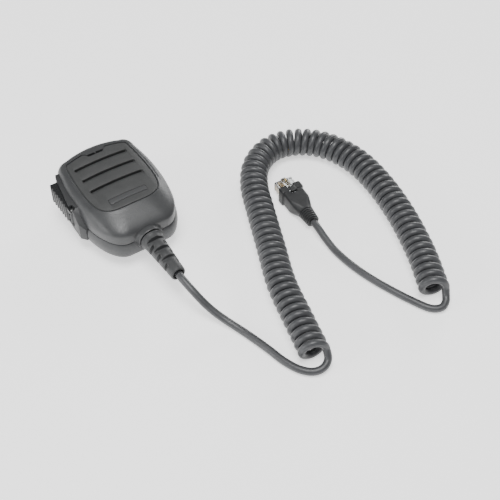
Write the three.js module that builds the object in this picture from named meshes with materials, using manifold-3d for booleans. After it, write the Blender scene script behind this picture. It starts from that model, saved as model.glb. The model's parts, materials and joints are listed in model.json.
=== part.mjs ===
// Hand microphone for a mobile radio: two-shell case with a push-to-talk key on its side, a coiled
// cord and a modular plug. Millimetres, +Z out of the grille, +Y towards the head of the microphone.
// The pieces are drawn with the slots' centre at x = y = 0 and the resting surface at z = 0; the
// outer group then moves the origin to the bottom centre of the microphone's box.
import * as THREE from 'three';
import { mergeVertices } from 'three/addons/utils/BufferGeometryUtils.js';
import Module from 'manifold-3d';

const wasm = await Module();
wasm.setup();

// ---------------------------------------------------------------- driving dimensions
const gap = 0.3; // between pieces that touch or fit into each other
const halfWidth = 29.3; // of the case, at its widest
const headY = 27.6; // upper end of the case
const footY = -46.8; // lower end of the case

// Plan outlines, right half: foot, flank, shoulder and brow are points, crown is the top of the arc.
const casePlan = {
  foot: [12, footY], flank: [halfWidth, -4], shoulder: [halfWidth - 2.7, headY - 9.6],
  brow: [halfWidth - 10.8, headY - 3], crown: headY, fullness: 0.6,
};
const panelMargin = {
  foot: 15.3, flank: 7.2, shoulderX: 8.35, shoulderY: 13.6, browX: 11.8, browY: 8.2, crown: 6.2,
};
const panelPlan = {
  foot: [5, footY + panelMargin.foot], flank: [halfWidth - panelMargin.flank, -6],
  shoulder: [halfWidth - panelMargin.shoulderX, headY - panelMargin.shoulderY],
  brow: [halfWidth - panelMargin.browX, headY - panelMargin.browY], crown: headY - panelMargin.crown,
  fullness: 0.8,
};
// The flat rim round the panel, by how far it reaches beyond the panel's own points
const border = { top: 2.6, shoulderX: 0.8, shoulderY: 1.2, browX: 1.4, browY: 1.9 };

// Heights above the resting surface
const backZ = 6; // outside of the rear shell
const partingZ = 19; // where the shells meet, and the cord's axis
const chinRidgeZ = 25.8;
const sideRidgeZ = 20.5;
const headRidgeZ = 27;
const panelZ = 34;
const wall = 2.2;
const panelThickness = 3;
const backRound = 5.5; // rounding of the rear shell's edge
const rearBulge = 0.8; // how far the rear shell swells outside the line where the shells meet

const slots = { count: 3, endMargin: 4.35, pitch: 10.5, ramp: 4, depth: 1.2, slit: 0.8 };
const slotHalf = halfWidth - panelMargin.flank - slots.endMargin;
const soundHoles = { length: 5, width: 1.2, centre: 2.9, drop: 8.8, depth: 6 };
const groove = { width: 0.9, depth: 0.7 };
const badge = { length: 24, width: 3.7, thickness: 0.5, rise: 7.7, recess: 0.8 };
const badgeY = footY + panelMargin.foot + badge.rise;

// The key stands proud of the left side, swings on its hinge at the heel and fills the bezel's pocket.
const bezel = {
  depth: 6.4, innerWall: 1.5, tipDepth: 0.9, tipStep: 0.8, proud: 2.6, headMargin: 7.8, tipEnd: 2.5,
  footMargin: 23.8, heelRun: 11, bottom: 10, top: 28, heelTop: 19, chamfer: 2.6,
};
const bezelInnerX = -halfWidth + bezel.depth;
const bezelOuterX = -halfWidth - bezel.proud;
const bezelTopY = headY - bezel.headMargin;
const bezelHeelY = footY + bezel.footMargin;
const hinge = { proud: 1.8, heelGap: 12.5, earRadius: 1.8, earHeight: 2, pinRadius: 0.8 };
const hingeX = -halfWidth - hinge.proud;
const hingeY = bezelHeelY + hinge.heelGap;
const key = {
  proudTip: 4, proudHeel: 3.4, innerTip: 1.9, innerHeel: -1.1, tipMargin: 4, heelRise: 2.6, bottom: 14, top: 26,
  ribPitch: 3.1, ribHeight: 0.7, ribWidth: 1.7,
};
const keyHeelY = hingeY + key.heelRise;
const keyTipY = bezelTopY - key.tipMargin;
const ribCount = Math.floor((keyTipY - keyHeelY - key.ribWidth) / key.ribPitch);
const keyInnerHeelX = -halfWidth + key.innerHeel;
const keyInnerTipX = -halfWidth + key.innerTip;
const plunger = {
  arm: 11.5, z: 20, radius: 1.4, nubRadius: 1.7, nubDepth: 1.1, stroke: 0.8, length: 3.2, slack: 0.05,
};
const plungerY = hingeY + plunger.arm;
const switchBody = { depth: 6.5, length: 12, height: 8.6 };

const board = { bezelGap: 1.4, sideMargin: 8.3, footMargin: 20.8, headMargin: 11.6, thickness: 1.6, z: 13.3 };
const boardLeft = bezelInnerX + board.bezelGap;
const boardRight = halfWidth - board.sideMargin;
const boardBottom = footY + board.footMargin;
const boardTop = headY - board.headMargin;
const boardScrews = [[boardLeft + 4.5, boardBottom + 5.5], [boardRight - 4, boardTop - 4]];
const boardScrew = { head: 2, headHeight: 1.4, shank: 1, length: 4.6, postRadius: 2.6 };
const header = { width: 10, depth: 4, height: 5, x: 1, rise: 4.5 };
const chip = { x: 12.5, y: -9, width: 7, depth: 6, height: 1.5 };
const capacitor = { x: -10, y: -12, radius: 2.5, height: 6 };
const trimmer = { x: 13, y: 1, radius: 3, height: 3 };
const capsule = { y: 5, radius: 4.85, height: 4.8, holderWall: 1.9, ledge: 1.2, headroom: 0.6 };
const cloth = { margin: 0.85, thickness: 0.4, headroom: 0.8 };

const caseScrew = { head: 2.3, headHeight: 1.6, shank: 1.25, sink: 0.9, postRadius: 3.2, length: 16 };
const screwInset = { upperX: 9.7, upperY: 7.5, lowerX: 13.6, lowerY: 12 };

const button = { y: 0, headRadius: 7.5, headHeight: 3, neckRadius: 4.5, sinkRadius: 3.2, sinkDepth: 2 };
const buttonScrew = { head: 2.9, headHeight: 1.5, shank: 1.5, length: 9.6, sink: 0.4, nut: 2.8, nutHeight: 2.2 };

const cord = { radius: 2.3, coilRadius: 9, tubeSides: 10, coilSides: 16 };
const relief = {
  ringRadius: 7.2, ring: 1.3, baseRadius: 6.5, endRadius: 4.6, plainEnd: 4.5, length: 31.5,
  neckRadius: 4.2, flangeRadius: 4.9, flange: 1.4,
  cuts: 6, cutWidth: 2.4, cutPitch: 3.9, firstCut: 4.2, coreRadius: 3.3,
};
const collar = { radius: 8.1, length: 3.5 };
const clamp = {
  rise: 11.3, width: 4.4, halfSpan: 9.8, thickness: 2, screwX: 6.6, postRadius: 2.4, tailBeyond: 1,
};
const clampScrew = { head: 1.9, headHeight: 1.3, shank: 1, length: 8 };
const wires = { radius: 1.1, sides: 8, steps: 5 };

const plug = {
  x: 97.6, y: -50.5, turn: -4.4, axisZ: 6, collarWidth: 15.2, collarHeight: 12, collarLength: 5,
  waistWidth: 13.6, waistHeight: 11, waistEnd: 13.5, tailStart: 20.5, tailEnd: 30.2, tailRadius: 4.9,
  tailEndRadius: 4, bodyWidth: 11.68, bodyHeight: 6.6, bodyInside: 10, bodyOutside: 8.4, bodyBevel: 0.8,
  contacts: 8, contactPitch: 1.02, contactWidth: 0.35, contactLength: 5.4, contactHeight: 2.6, contactSink: 0.2,
  bodyDrop: 0.1, latchWidth: 3.2, latchThickness: 0.9, latchRise: 1.4, latchHingeY: 7.9,
  padWidth: 4, padStart: 2.6, padEnd: 7, padThickness: 0.9,
};

// The mic-end stretch, the coil's axis and the plug-end stretch of the cord, in its resting place
const micCordRoute = [
  [0, -82.7, 19], [0.2, -87.2, 18.4], [1.7, -94.4, 15.9], [4, -101.2, 11.8], [7.1, -107.8, 7.6],
  [11.1, -115.2, 4.2], [15.1, -124.2, 2.6], [18.4, -134.4, 2.4], [21.2, -144.6, 2.4], [23.6, -154.5, 2.4],
  [27.6, -163.6, 2.4], [33, -169.2, 2.6], [38.8, -170.6, 3.6], [42.4, -168, 5], [43.4, -165.2, 5.8],
];
const coilRoute = [
  [38.3, -162.6], [43.5, -140], [50, -113], [60.5, -86], [71.8, -57], [80, -37.5], [91.5, -22.5], [108, -15],
  [125, -18.5], [139, -31], [147, -52], [147.6, -76], [142.6, -106], [133, -137.5], [121.8, -163.6],
];
const plugCordRoute = [
  [125.8, -167.4, 5.8], [124.6, -170.4, 4.8], [120.6, -172.8, 3.2], [114.8, -169.8, 2.4], [109.8, -160.5, 2.4],
  [105, -149, 2.4], [100.4, -136, 2.4], [97.3, -124.5, 2.4], [95.5, -114, 2.4], [94.6, -104, 2.7],
  [94.5, -94.5, 4.2], [94.9, -86.5, 5.7], [95.26, -80.92, 6],
];

// ---------------------------------------------------------------- finishes
const finish = (color, roughness, metalness = 0) => (
  new THREE.MeshStandardMaterial({ color, roughness, metalness }));
const finishes = {
  shell: finish('#4b4c4d', 0.6),
  bezel: finish('#454647', 0.55),
  key: finish('#2e2f30', 0.5),
  rubber: finish('#37383a', 0.8),
  cord: finish('#3c3d3e', 0.5),
  plugBoot: finish('#2c2d2e', 0.6),
  clear: finish('#dfe3e4', 0.1),
  gold: finish('#c9a24a', 0.3, 1),
  steel: finish('#a7a9ab', 0.35, 1),
  plate: finish('#2a2b2c', 0.3),
  board: finish('#1d4a33', 0.6),
  part: finish('#26272a', 0.5),
  cloth: finish('#1b1c1d', 0.95),
};

// ---------------------------------------------------------------- solids
function toSolid(geometry) {
  const bare = geometry.clone();
  bare.deleteAttribute('normal');
  bare.deleteAttribute('uv');
  const merged = mergeVertices(bare, 1e-4);
  return new wasm.Manifold(new wasm.Mesh({
    numProp: 3,
    vertProperties: new Float32Array(merged.attributes.position.array),
    triVerts: new Uint32Array(merged.index.array),
  }));
}

function toGeometry(solid) {
  const { vertProperties, triVerts } = solid.getMesh();
  const geometry = new THREE.BufferGeometry();
  geometry.setAttribute('position', new THREE.BufferAttribute(vertProperties, 3));
  geometry.setIndex(new THREE.BufferAttribute(triVerts, 1));
  return geometry;
}

function block([x0, x1], [y0, y1], [z0, z1]) {
  const geometry = new THREE.BoxGeometry(x1 - x0, y1 - y0, z1 - z0);
  return toSolid(geometry.translate((x0 + x1) / 2, (y0 + y1) / 2, (z0 + z1) / 2));
}

// A round bar or cone between two points.
function rod(from, to, radius, radiusTo = radius, sides = 24) {
  const start = new THREE.Vector3(...from);
  const along = new THREE.Vector3(...to).sub(start);
  const geometry = new THREE.CylinderGeometry(radiusTo, radius, along.length(), sides);
  const turn = new THREE.Quaternion().setFromUnitVectors(new THREE.Vector3(0, 1, 0), along.clone().normalize());
  return toSolid(geometry.applyQuaternion(turn).translate(...start.addScaledVector(along, 0.5).toArray()));
}

const asShape = (points) => new THREE.Shape(points.map(([x, y]) => new THREE.Vector2(x, y)));

// An outline in the XY plane, standing from one height to another.
function plate(points, z0, z1) {
  const geometry = new THREE.ExtrudeGeometry(asShape(points), { depth: z1 - z0, bevelEnabled: false });
  return toSolid(geometry.translate(0, 0, z0));
}

// An outline given as [y, z], extruded along X.
function sidePlate(points, x0, x1) {
  const geometry = new THREE.ExtrudeGeometry(asShape(points), { depth: x1 - x0, bevelEnabled: false });
  const swap = new THREE.Matrix4().makeBasis(
    new THREE.Vector3(0, 1, 0), new THREE.Vector3(0, 0, 1), new THREE.Vector3(1, 0, 0));
  return toSolid(geometry.applyMatrix4(swap).translate(x0, 0, 0));
}

// A turned piece standing on Z: its profile is a list of [radius, height], closed unless it meets the axis.
function turned(profile, sides = 32) {
  const closed = profile[0][0] > 0 ? [...profile, profile[0]] : profile;
  const points = closed.map(([radius, height]) => new THREE.Vector2(radius, height));
  return toSolid(new THREE.LatheGeometry(points, sides).rotateX(Math.PI / 2));
}

// A skin over stacked rings of equal point counts, bottom first, each ring anticlockwise from -Y.
function loft(rings) {
  const sides = rings[0].length;
  const geometry = new THREE.CylinderGeometry(1, 1, 1, sides, rings.length - 1);
  geometry.deleteAttribute('normal');
  geometry.deleteAttribute('uv');
  const merged = mergeVertices(geometry, 1e-5);
  const position = merged.attributes.position;
  for (let i = 0; i < position.count; i += 1) {
    const ring = rings[Math.round((position.getY(i) + 0.5) * (rings.length - 1))];
    const radius = Math.hypot(position.getX(i), position.getZ(i));
    if (radius > 0.5) {
      const turn = Math.atan2(position.getX(i), position.getZ(i)) / (2 * Math.PI);
      const point = ring[(Math.round(turn * sides) + sides) % sides];
      position.setXYZ(i, point.x, point.y, point.z);
    } else {
      position.setXYZ(i, 0, 0, ring.reduce((sum, point) => sum + point.z, 0) / sides);
    }
  }
  return toSolid(merged);
}

// A round bar along a smooth route.
function tube(route, radius, sides, steps) {
  const curve = new THREE.CatmullRomCurve3(route.map((point) => new THREE.Vector3(...point)));
  const section = Array.from({ length: sides }, (_, i) => {
    const angle = (2 * Math.PI * i) / sides;
    return [radius * Math.cos(angle), radius * Math.sin(angle)];
  });
  return new THREE.ExtrudeGeometry(asShape(section), { steps, extrudePath: curve });
}

// ---------------------------------------------------------------- the body's outline
const pointsPerStretch = { foot: 2, flank: 8, shoulder: 3, corner: 4, crown: 3 };

// The right half of a plan outline, from the bottom centre to the top centre.
function halfOutline({ foot, flank, shoulder, brow, crown, fullness }) {
  const at = ([x, y]) => new THREE.Vector2(x, y);
  const [footX, footY] = foot;
  const [flankX, flankY] = flank;
  const stretches = [
    [new THREE.LineCurve(at([0, footY]), at(foot)), pointsPerStretch.foot],
    [new THREE.CubicBezierCurve(at(foot), at([footX + fullness * (flankX - footX), footY]),
      at([flankX, flankY - fullness * (flankY - footY)]), at(flank)), pointsPerStretch.flank],
    [new THREE.QuadraticBezierCurve(at(flank), at([flankX, (flankY + shoulder[1]) / 2]), at(shoulder)),
      pointsPerStretch.shoulder],
    [new THREE.QuadraticBezierCurve(at(shoulder), at([(shoulder[0] * 3 + brow[0]) / 4 + 1, brow[1]]), at(brow)),
      pointsPerStretch.corner],
    [new THREE.QuadraticBezierCurve(at(brow), at([brow[0] / 2, crown]), at([0, crown])), pointsPerStretch.crown],
  ];
  return stretches.flatMap(([curve, count]) => curve.getPoints(count).slice(0, -1));
}

// The whole outline, anticlockwise from the bottom centre.
function outline(plan) {
  const right = halfOutline(plan);
  const left = right.slice(1).reverse().map((point) => new THREE.Vector2(-point.x, point.y));
  return [...right, new THREE.Vector2(0, plan.crown), ...left];
}

// The same outline moved inwards by a distance.
function inset(points, distance) {
  return points.map((point, i) => {
    const before = points[(i + points.length - 1) % points.length];
    const after = points[(i + 1) % points.length];
    const along = after.clone().sub(before).normalize();
    return new THREE.Vector2(point.x - along.y * distance, point.y + along.x * distance);
  });
}

const smooth = (value, from, to) => THREE.MathUtils.smoothstep(value, from, to);
const raise = (points, height) => points.map((point) => new THREE.Vector3(point.x, point.y, height(point)));

const caseOutline = outline(casePlan);
const borderPlan = {
  ...panelPlan,
  shoulder: [panelPlan.shoulder[0] + border.shoulderX, panelPlan.shoulder[1] + border.shoulderY],
  brow: [panelPlan.brow[0] + border.browX, panelPlan.brow[1] + border.browY],
  crown: panelPlan.crown + border.top,
};
const borderOutline = outline(borderPlan);

// Height at which the case's wall turns into its sloping top: a ridge at the chin, lower at the sides.
function ridgeHeight(point) {
  const chin = 1 - smooth(point.y, casePlan.foot[1] + 6, casePlan.foot[1] + 30);
  const head = smooth(point.y, casePlan.shoulder[1] - 4, casePlan.crown);
  return sideRidgeZ + chin * (chinRidgeZ - sideRidgeZ) + head * (headRidgeZ - sideRidgeZ);
}

// Rings of the front shell from the parting line to the panel, moved inwards and down for the cavity.
function frontRings(inwards, down, startZ) {
  const edge = inset(caseOutline, inwards);
  const rim = inset(borderOutline, inwards);
  const crownZ = panelZ - 0.4;
  const slope = (fraction) => edge.map((point, i) => {
    const ridge = ridgeHeight(caseOutline[i]);
    const chin = 1 - smooth(caseOutline[i].y, casePlan.foot[1] + 4, casePlan.foot[1] + 26);
    const round = Math.sin((Math.PI / 2) * fraction);
    const lift = THREE.MathUtils.lerp(round, 0.45 * round + 0.55 * fraction, chin);
    const place = point.clone().lerp(rim[i], fraction);
    return new THREE.Vector3(place.x, place.y, ridge + (crownZ - ridge) * lift - down);
  });
  const rings = [raise(edge, () => startZ), ...[0, 0.07, 0.2, 0.4, 0.7, 1].map(slope)];
  return [...rings, raise(inset(rim, 0.7), () => panelZ - down)];
}

// Rings of the rear shell from its floor to the line where the shells meet: rounded below, swollen above.
function rearRings(inwards, bottomZ, endZ) {
  const at = (distance, z) => raise(inset(caseOutline, inwards + distance - rearBulge), () => z);
  const roundZ = bottomZ + backRound;
  return [
    at(backRound, bottomZ), at(backRound * 0.5, bottomZ + backRound * 0.13),
    at(backRound * 0.13, bottomZ + backRound * 0.5), at(0, roundZ),
    at(rearBulge / 3, (roundZ + endZ) / 2), at(rearBulge, endZ),
  ];
}

// ---------------------------------------------------------------- what the shells share
const clampY = footY + clamp.rise;
const screwPlaces = [
  [casePlan.shoulder[0] - screwInset.upperX, casePlan.crown - screwInset.upperY],
  [-(casePlan.shoulder[0] - screwInset.upperX), casePlan.crown - screwInset.upperY],
  [casePlan.flank[0] - screwInset.lowerX, casePlan.foot[1] + screwInset.lowerY],
  [-(casePlan.flank[0] - screwInset.lowerX), casePlan.foot[1] + screwInset.lowerY],
];
const floorZ = backZ + wall;
const screwHeadZ = backZ + caseScrew.sink;
const screwTopZ = screwHeadZ + caseScrew.headHeight + caseScrew.length;

const bezelPlan = [
  [bezelInnerX, bezelHeelY], [bezelInnerX, bezelTopY],
  [-halfWidth + bezel.tipDepth + bezel.tipStep, bezelTopY],
  [-halfWidth + bezel.tipDepth, bezelTopY - bezel.tipEnd], [bezelOuterX, keyHeelY - gap],
  [bezelOuterX, bezelHeelY + bezel.chamfer * 1.3], [bezelOuterX + bezel.chamfer, bezelHeelY],
];
const cordHole = rod([0, footY - collar.length - 1, partingZ], [0, footY + wall + 1, partingZ],
  relief.neckRadius + gap);
const reliefSeat = rod([0, footY + wall, partingZ], [0, footY + wall + relief.flange + 3 * gap, partingZ],
  relief.flangeRadius + gap);
const collarRing = rod([0, footY - collar.length, partingZ], [0, footY + wall / 2, partingZ], collar.radius);
const outside = 150; // further out than any piece of the case
const above = (z) => block([-outside, outside], [-outside, outside], [z, outside]);
const below = (z) => block([-outside, outside], [-outside, outside], [-outside, z]);

// All that lies above the bezel's heel, which falls away towards the cord.
function overHeel(rise) {
  const [top, low] = [bezel.top + rise, bezel.heelTop + rise];
  const start = bezelHeelY + bezel.heelRun;
  return sidePlate([
    [start, outside], [start, top], [bezelHeelY, low], [bezelHeelY - outside, low],
    [bezelHeelY - outside, outside],
  ], -outside, 0);
}

// What the bezel and the key take out of the shells: the bezel's own outline and all that lies outside it.
function bezelSpace() {
  const grown = inset(bezelPlan.map(([x, y]) => new THREE.Vector2(x, y)), -gap).map(({ x, y }) => [x, y]);
  const [heelInner, topInner, , , , heelOuter, heelCorner] = grown;
  const points = [
    heelInner, topInner, [-outside, topInner[1]], [-outside, heelOuter[1]], heelOuter, heelCorner,
  ];
  return plate(points, bezel.bottom - gap, bezel.top + gap).subtract(overHeel(gap));
}

// ---------------------------------------------------------------- case
function grilleSlots() {
  const span = (slots.count - 1) / 2;
  return Array.from({ length: slots.count }, (_, i) => {
    const topY = (span - i) * slots.pitch + slots.ramp / 2;
    const ramp = sidePlate([
      [topY - slots.ramp, panelZ], [topY - slots.slit, panelZ - slots.depth], [topY, panelZ - slots.depth],
      [topY, panelZ + 1], [topY - slots.ramp, panelZ + 1],
    ], -slotHalf, slotHalf);
    const slit = block([-slotHalf + 1, slotHalf - 1], [topY - slots.slit, topY],
      [panelZ - panelThickness - 1, panelZ]);
    return ramp.add(slit);
  });
}

function panelGroove() {
  const ring = (distance) => inset(outline(panelPlan), distance).map(({ x, y }) => [x, y]);
  const outer = plate(ring(-groove.width / 2), panelZ - groove.depth, panelZ + 1);
  return outer.subtract(plate(ring(groove.width / 2), panelZ - groove.depth - 1, panelZ + 2));
}

function frontCase() {
  const startZ = partingZ + gap / 2;
  const skin = loft(frontRings(0, 0, startZ));
  let solid = skin.add(collarRing.intersect(above(startZ)));
  solid = solid.subtract(loft(frontRings(wall, panelThickness, startZ - 1)));
  for (const [x, y] of screwPlaces) {
    solid = solid.add(rod([x, y, startZ], [x, y, panelZ], caseScrew.postRadius, undefined, 18).intersect(
      loft(frontRings(wall / 2, panelThickness / 2, startZ))));
    solid = solid.subtract(rod([x, y, startZ - 1], [x, y, screwTopZ + gap], caseScrew.shank + gap,
      undefined, 16));
  }
  for (const slot of grilleSlots()) solid = solid.subtract(slot);
  for (const side of [-1, 1]) {
    const x = side * soundHoles.centre;
    const y = headY - soundHoles.drop;
    solid = solid.subtract(block([x - soundHoles.length / 2, x + soundHoles.length / 2],
      [y - soundHoles.width / 2, y + soundHoles.width / 2], [panelZ - soundHoles.depth, panelZ + 1]));
  }
  const half = [badge.length / 2 + gap, badge.width / 2 + gap];
  solid = solid.subtract(block(
    [-half[0], half[0]], [badgeY - half[1], badgeY + half[1]], [panelZ - badge.recess, panelZ + 1]));
  return solid.subtract(panelGroove()).subtract(cordHole).subtract(reliefSeat).subtract(bezelSpace());
}

function rearCase() {
  const endZ = partingZ - gap / 2;
  let solid = loft(rearRings(0, backZ, endZ)).add(collarRing.intersect(below(endZ)));
  solid = solid.subtract(loft(rearRings(wall, floorZ, endZ + 1)));
  for (const [x, y] of screwPlaces) {
    solid = solid.add(rod([x, y, backZ + wall / 2], [x, y, endZ], caseScrew.postRadius, undefined, 18));
    solid = solid.subtract(rod([x, y, backZ - 1], [x, y, endZ + 1], caseScrew.shank + gap, undefined, 16));
    solid = solid.subtract(rod([x, y, backZ - 1], [x, y, screwHeadZ + caseScrew.headHeight + gap],
      caseScrew.head + gap, undefined, 18));
  }
  for (const [x, y] of boardScrews) {
    solid = solid.add(rod([x, y, backZ + wall / 2], [x, y, board.z - gap], boardScrew.postRadius,
      undefined, 16));
    solid = solid.subtract(rod([x, y, floorZ], [x, y, board.z], boardScrew.shank + gap, undefined, 16));
  }
  const saddleTop = partingZ - cord.radius - gap;
  solid = solid.add(block([-clamp.screwX, clamp.screwX],
    [clampY - clamp.width / 2, clampY + clamp.width / 2], [floorZ - 1, saddleTop]));
  for (const side of [-1, 1]) {
    const x = side * clamp.screwX;
    solid = solid.add(rod([x, clampY, floorZ - 1], [x, clampY, partingZ + cord.radius], clamp.postRadius,
      undefined, 16));
    solid = solid.subtract(rod([x, clampY, floorZ + 1], [x, clampY, partingZ + cord.radius + 1],
      clampScrew.shank + gap, undefined, 16));
  }
  solid = solid.subtract(rod([0, button.y, backZ - 1], [0, button.y, floorZ + 1], buttonScrew.shank + gap));
  return solid.subtract(cordHole).subtract(reliefSeat).subtract(bezelSpace());
}

// ---------------------------------------------------------------- push-to-talk key
const knuckleBottom = key.bottom + hinge.earHeight + gap;
const knuckleTop = key.top - hinge.earHeight - gap;
const nubEndX = bezelInnerX - plunger.nubDepth;

function sideBezel() {
  const innerWallX = bezelInnerX - bezel.innerWall;
  let solid = plate(bezelPlan, bezel.bottom, bezel.top).subtract(overHeel(0));
  // the pocket that the key sinks into
  solid = solid.subtract(block(
    [-outside, innerWallX], [keyHeelY - gap, keyTipY + 2 * gap], [key.bottom - gap, key.top + gap]));
  solid = solid.add(rod([hingeX, hingeY, knuckleBottom], [hingeX, hingeY, knuckleTop], hinge.earRadius));
  for (const [low, high] of [[key.bottom - gap, knuckleBottom], [knuckleTop, bezel.top + 1]]) {
    solid = solid.subtract(rod([hingeX, hingeY, low], [hingeX, hingeY, high], hinge.earRadius + gap));
    solid = solid.subtract(block(
      [-outside, keyInnerHeelX + 2 * gap], [hingeY, keyHeelY - gap / 2], [low, high]));
  }
  solid = solid.subtract(rod([hingeX, hingeY, key.bottom - gap], [hingeX, hingeY, bezel.top + 1],
    hinge.pinRadius + gap, undefined, 16));
  return solid.subtract(rod([innerWallX - 1, plungerY, plunger.z], [bezelInnerX + 1, plungerY, plunger.z],
    plunger.nubRadius + 3 * gap));
}

// The key's outer face lies a little further in at the heel than at the tip.
function keyFaceX(y) {
  const share = (y - keyHeelY) / (keyTipY - keyHeelY);
  return -halfWidth - THREE.MathUtils.lerp(key.proudHeel, key.proudTip, share);
}

function talkKey() {
  const ribSpan = (ribCount - 1) * key.ribPitch;
  const firstRib = (keyTipY + keyHeelY - ribSpan) / 2;
  const half = key.ribWidth / 2;
  const teeth = Array.from({ length: ribCount }, (_, i) => {
    const y = firstRib + i * key.ribPitch;
    const crest = keyFaceX(y) - key.ribHeight;
    return [
      [keyFaceX(y - half), y - half], [crest, y - half * 0.45], [crest, y + half * 0.45],
      [keyFaceX(y + half), y + half],
    ];
  }).flat();
  const plan = [
    [keyFaceX(keyHeelY), keyHeelY], [keyInnerHeelX, keyHeelY], [keyInnerTipX, keyTipY],
    [keyFaceX(keyTipY), keyTipY], ...teeth.toReversed(),
  ];
  let solid = plate(plan, key.bottom, key.top);
  for (const low of [key.bottom, key.top - hinge.earHeight]) {
    const high = low + hinge.earHeight;
    solid = solid.add(rod([hingeX, hingeY, low], [hingeX, hingeY, high], hinge.earRadius));
    solid = solid.add(block([hingeX - hinge.earRadius, keyInnerHeelX], [hingeY, keyHeelY + 1], [low, high]));
  }
  solid = solid.subtract(rod([hingeX, hingeY, key.bottom - 1], [hingeX, hingeY, key.top + 1],
    hinge.pinRadius + gap, undefined, 16));
  return solid.add(rod([keyInnerHeelX - 1, plungerY, plunger.z], [nubEndX, plungerY, plunger.z],
    plunger.nubRadius));
}

const plungerTipX = nubEndX + gap + plunger.slack;
const switchX = bezelInnerX + 2 * gap;
const boardTopZ = board.z + board.thickness;

function switchHousing() {
  const [y0, y1] = [plungerY - switchBody.length / 2, plungerY + switchBody.length / 2];
  const solid = block([switchX, switchX + switchBody.depth], [y0, y1],
    [boardTopZ + gap, boardTopZ + gap + switchBody.height]);
  const boreEnd = plungerTipX + plunger.length + plunger.stroke + gap;
  return solid.subtract(rod([switchX - 1, plungerY, plunger.z], [boreEnd, plungerY, plunger.z],
    plunger.radius + gap));
}

// ---------------------------------------------------------------- inside the case
function circuitBoard() {
  let solid = block([boardLeft, boardRight], [boardBottom, boardTop], [board.z, boardTopZ]);
  for (const [x, y] of boardScrews) {
    solid = solid.subtract(rod([x, y, board.z - 1], [x, y, boardTopZ + 1], boardScrew.shank + gap,
      undefined, 16));
  }
  return solid;
}

const clothZ = panelZ - panelThickness - cloth.headroom;
const holderTopZ = clothZ - gap;
const capsuleZ = holderTopZ - capsule.height - capsule.headroom;

function capsuleHolder() {
  const inner = capsule.radius + gap;
  const outer = inner + capsule.holderWall;
  const bottom = boardTopZ + gap;
  return turned([
    [inner - capsule.ledge, bottom], [outer, bottom], [outer, holderTopZ], [inner, holderTopZ],
    [inner, capsuleZ - gap], [inner - capsule.ledge, capsuleZ - gap],
  ], 28);
}

// A pan-head screw standing on Z, head down, with a cross recess.
function screw(head, headHeight, shank, length) {
  const end = headHeight + length;
  const solid = turned([
    [0, 0], [head * 0.85, 0], [head, headHeight * 0.4], [head, headHeight], [shank, headHeight], [shank, end],
    [0, end],
  ], 14);
  const reach = head * 0.6;
  const arm = head * 0.16;
  const depth = headHeight * 0.6;
  return solid
    .subtract(block([-reach, reach], [-arm, arm], [-1, depth]))
    .subtract(block([-arm, arm], [-reach, reach], [-1, depth]));
}

// ---------------------------------------------------------------- hang-up button
function hangButton() {
  const { headRadius, headHeight, neckRadius, sinkRadius, sinkDepth } = button;
  const bore = buttonScrew.shank + gap;
  return turned([
    [sinkRadius, 0], [headRadius - 0.8, 0], [headRadius, 0.8], [headRadius, headHeight - 0.5],
    [headRadius - 0.5, headHeight], [neckRadius, headHeight], [neckRadius, backZ - gap], [bore, backZ - gap],
    [bore, sinkDepth], [sinkRadius, sinkDepth],
  ], 28);
}

function hexNut() {
  const ring = Array.from({ length: 6 }, (_, i) => {
    const angle = (Math.PI / 3) * i;
    return [buttonScrew.nut * Math.cos(angle), buttonScrew.nut * Math.sin(angle)];
  });
  return plate(ring, 0, buttonScrew.nutHeight).subtract(
    rod([0, 0, -1], [0, 0, buttonScrew.nutHeight + 1], buttonScrew.shank + gap, undefined, 16));
}

// ---------------------------------------------------------------- strain relief, clamp and cord
// The strain relief is turned about its own axis, z = 0 at its outer shoulder and +z towards the cord.
function strainRelief() {
  const bore = cord.radius + gap;
  const neck = collar.length + wall + 2 * gap;
  let solid = turned([
    [bore, -neck - relief.flange], [relief.flangeRadius, -neck - relief.flange], [relief.flangeRadius, -neck],
    [relief.neckRadius, -neck], [relief.neckRadius, 0], [relief.ringRadius, 0], [relief.ringRadius, relief.ring],
    [relief.baseRadius, relief.ring], [relief.endRadius, relief.length - relief.plainEnd],
    [relief.endRadius, relief.length], [bore, relief.length],
  ], 28);
  for (let i = 0; i < relief.cuts; i += 1) {
    const z = relief.firstCut + i * relief.cutPitch;
    for (const side of [-1, 1]) {
      const near = side * relief.coreRadius;
      const far = side * 12;
      const depth = [Math.min(near, far), Math.max(near, far)];
      const [x, y] = i % 2 ? [depth, [-12, 12]] : [[-12, 12], depth];
      solid = solid.subtract(block(x, y, [z, z + relief.cutWidth]));
    }
  }
  return solid;
}

function cordClamp() {
  const low = partingZ + cord.radius + gap;
  let solid = block([-clamp.halfSpan, clamp.halfSpan],
    [clampY - clamp.width / 2, clampY + clamp.width / 2], [low, low + clamp.thickness]);
  for (const side of [-1, 1]) {
    const x = side * clamp.screwX;
    solid = solid.subtract(rod([x, clampY, low - 1], [x, clampY, low + clamp.thickness + 1],
      clampScrew.shank + gap, undefined, 16));
  }
  return solid;
}

// ---------------------------------------------------------------- modular plug
// Drawn with the plug's front collar at y = 0, +Y into the socket and the resting surface at z = 0.
const plugTopZ = plug.axisZ + plug.bodyHeight / 2 - plug.bodyDrop;
const plugBottomZ = plugTopZ - plug.bodyHeight;

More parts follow.
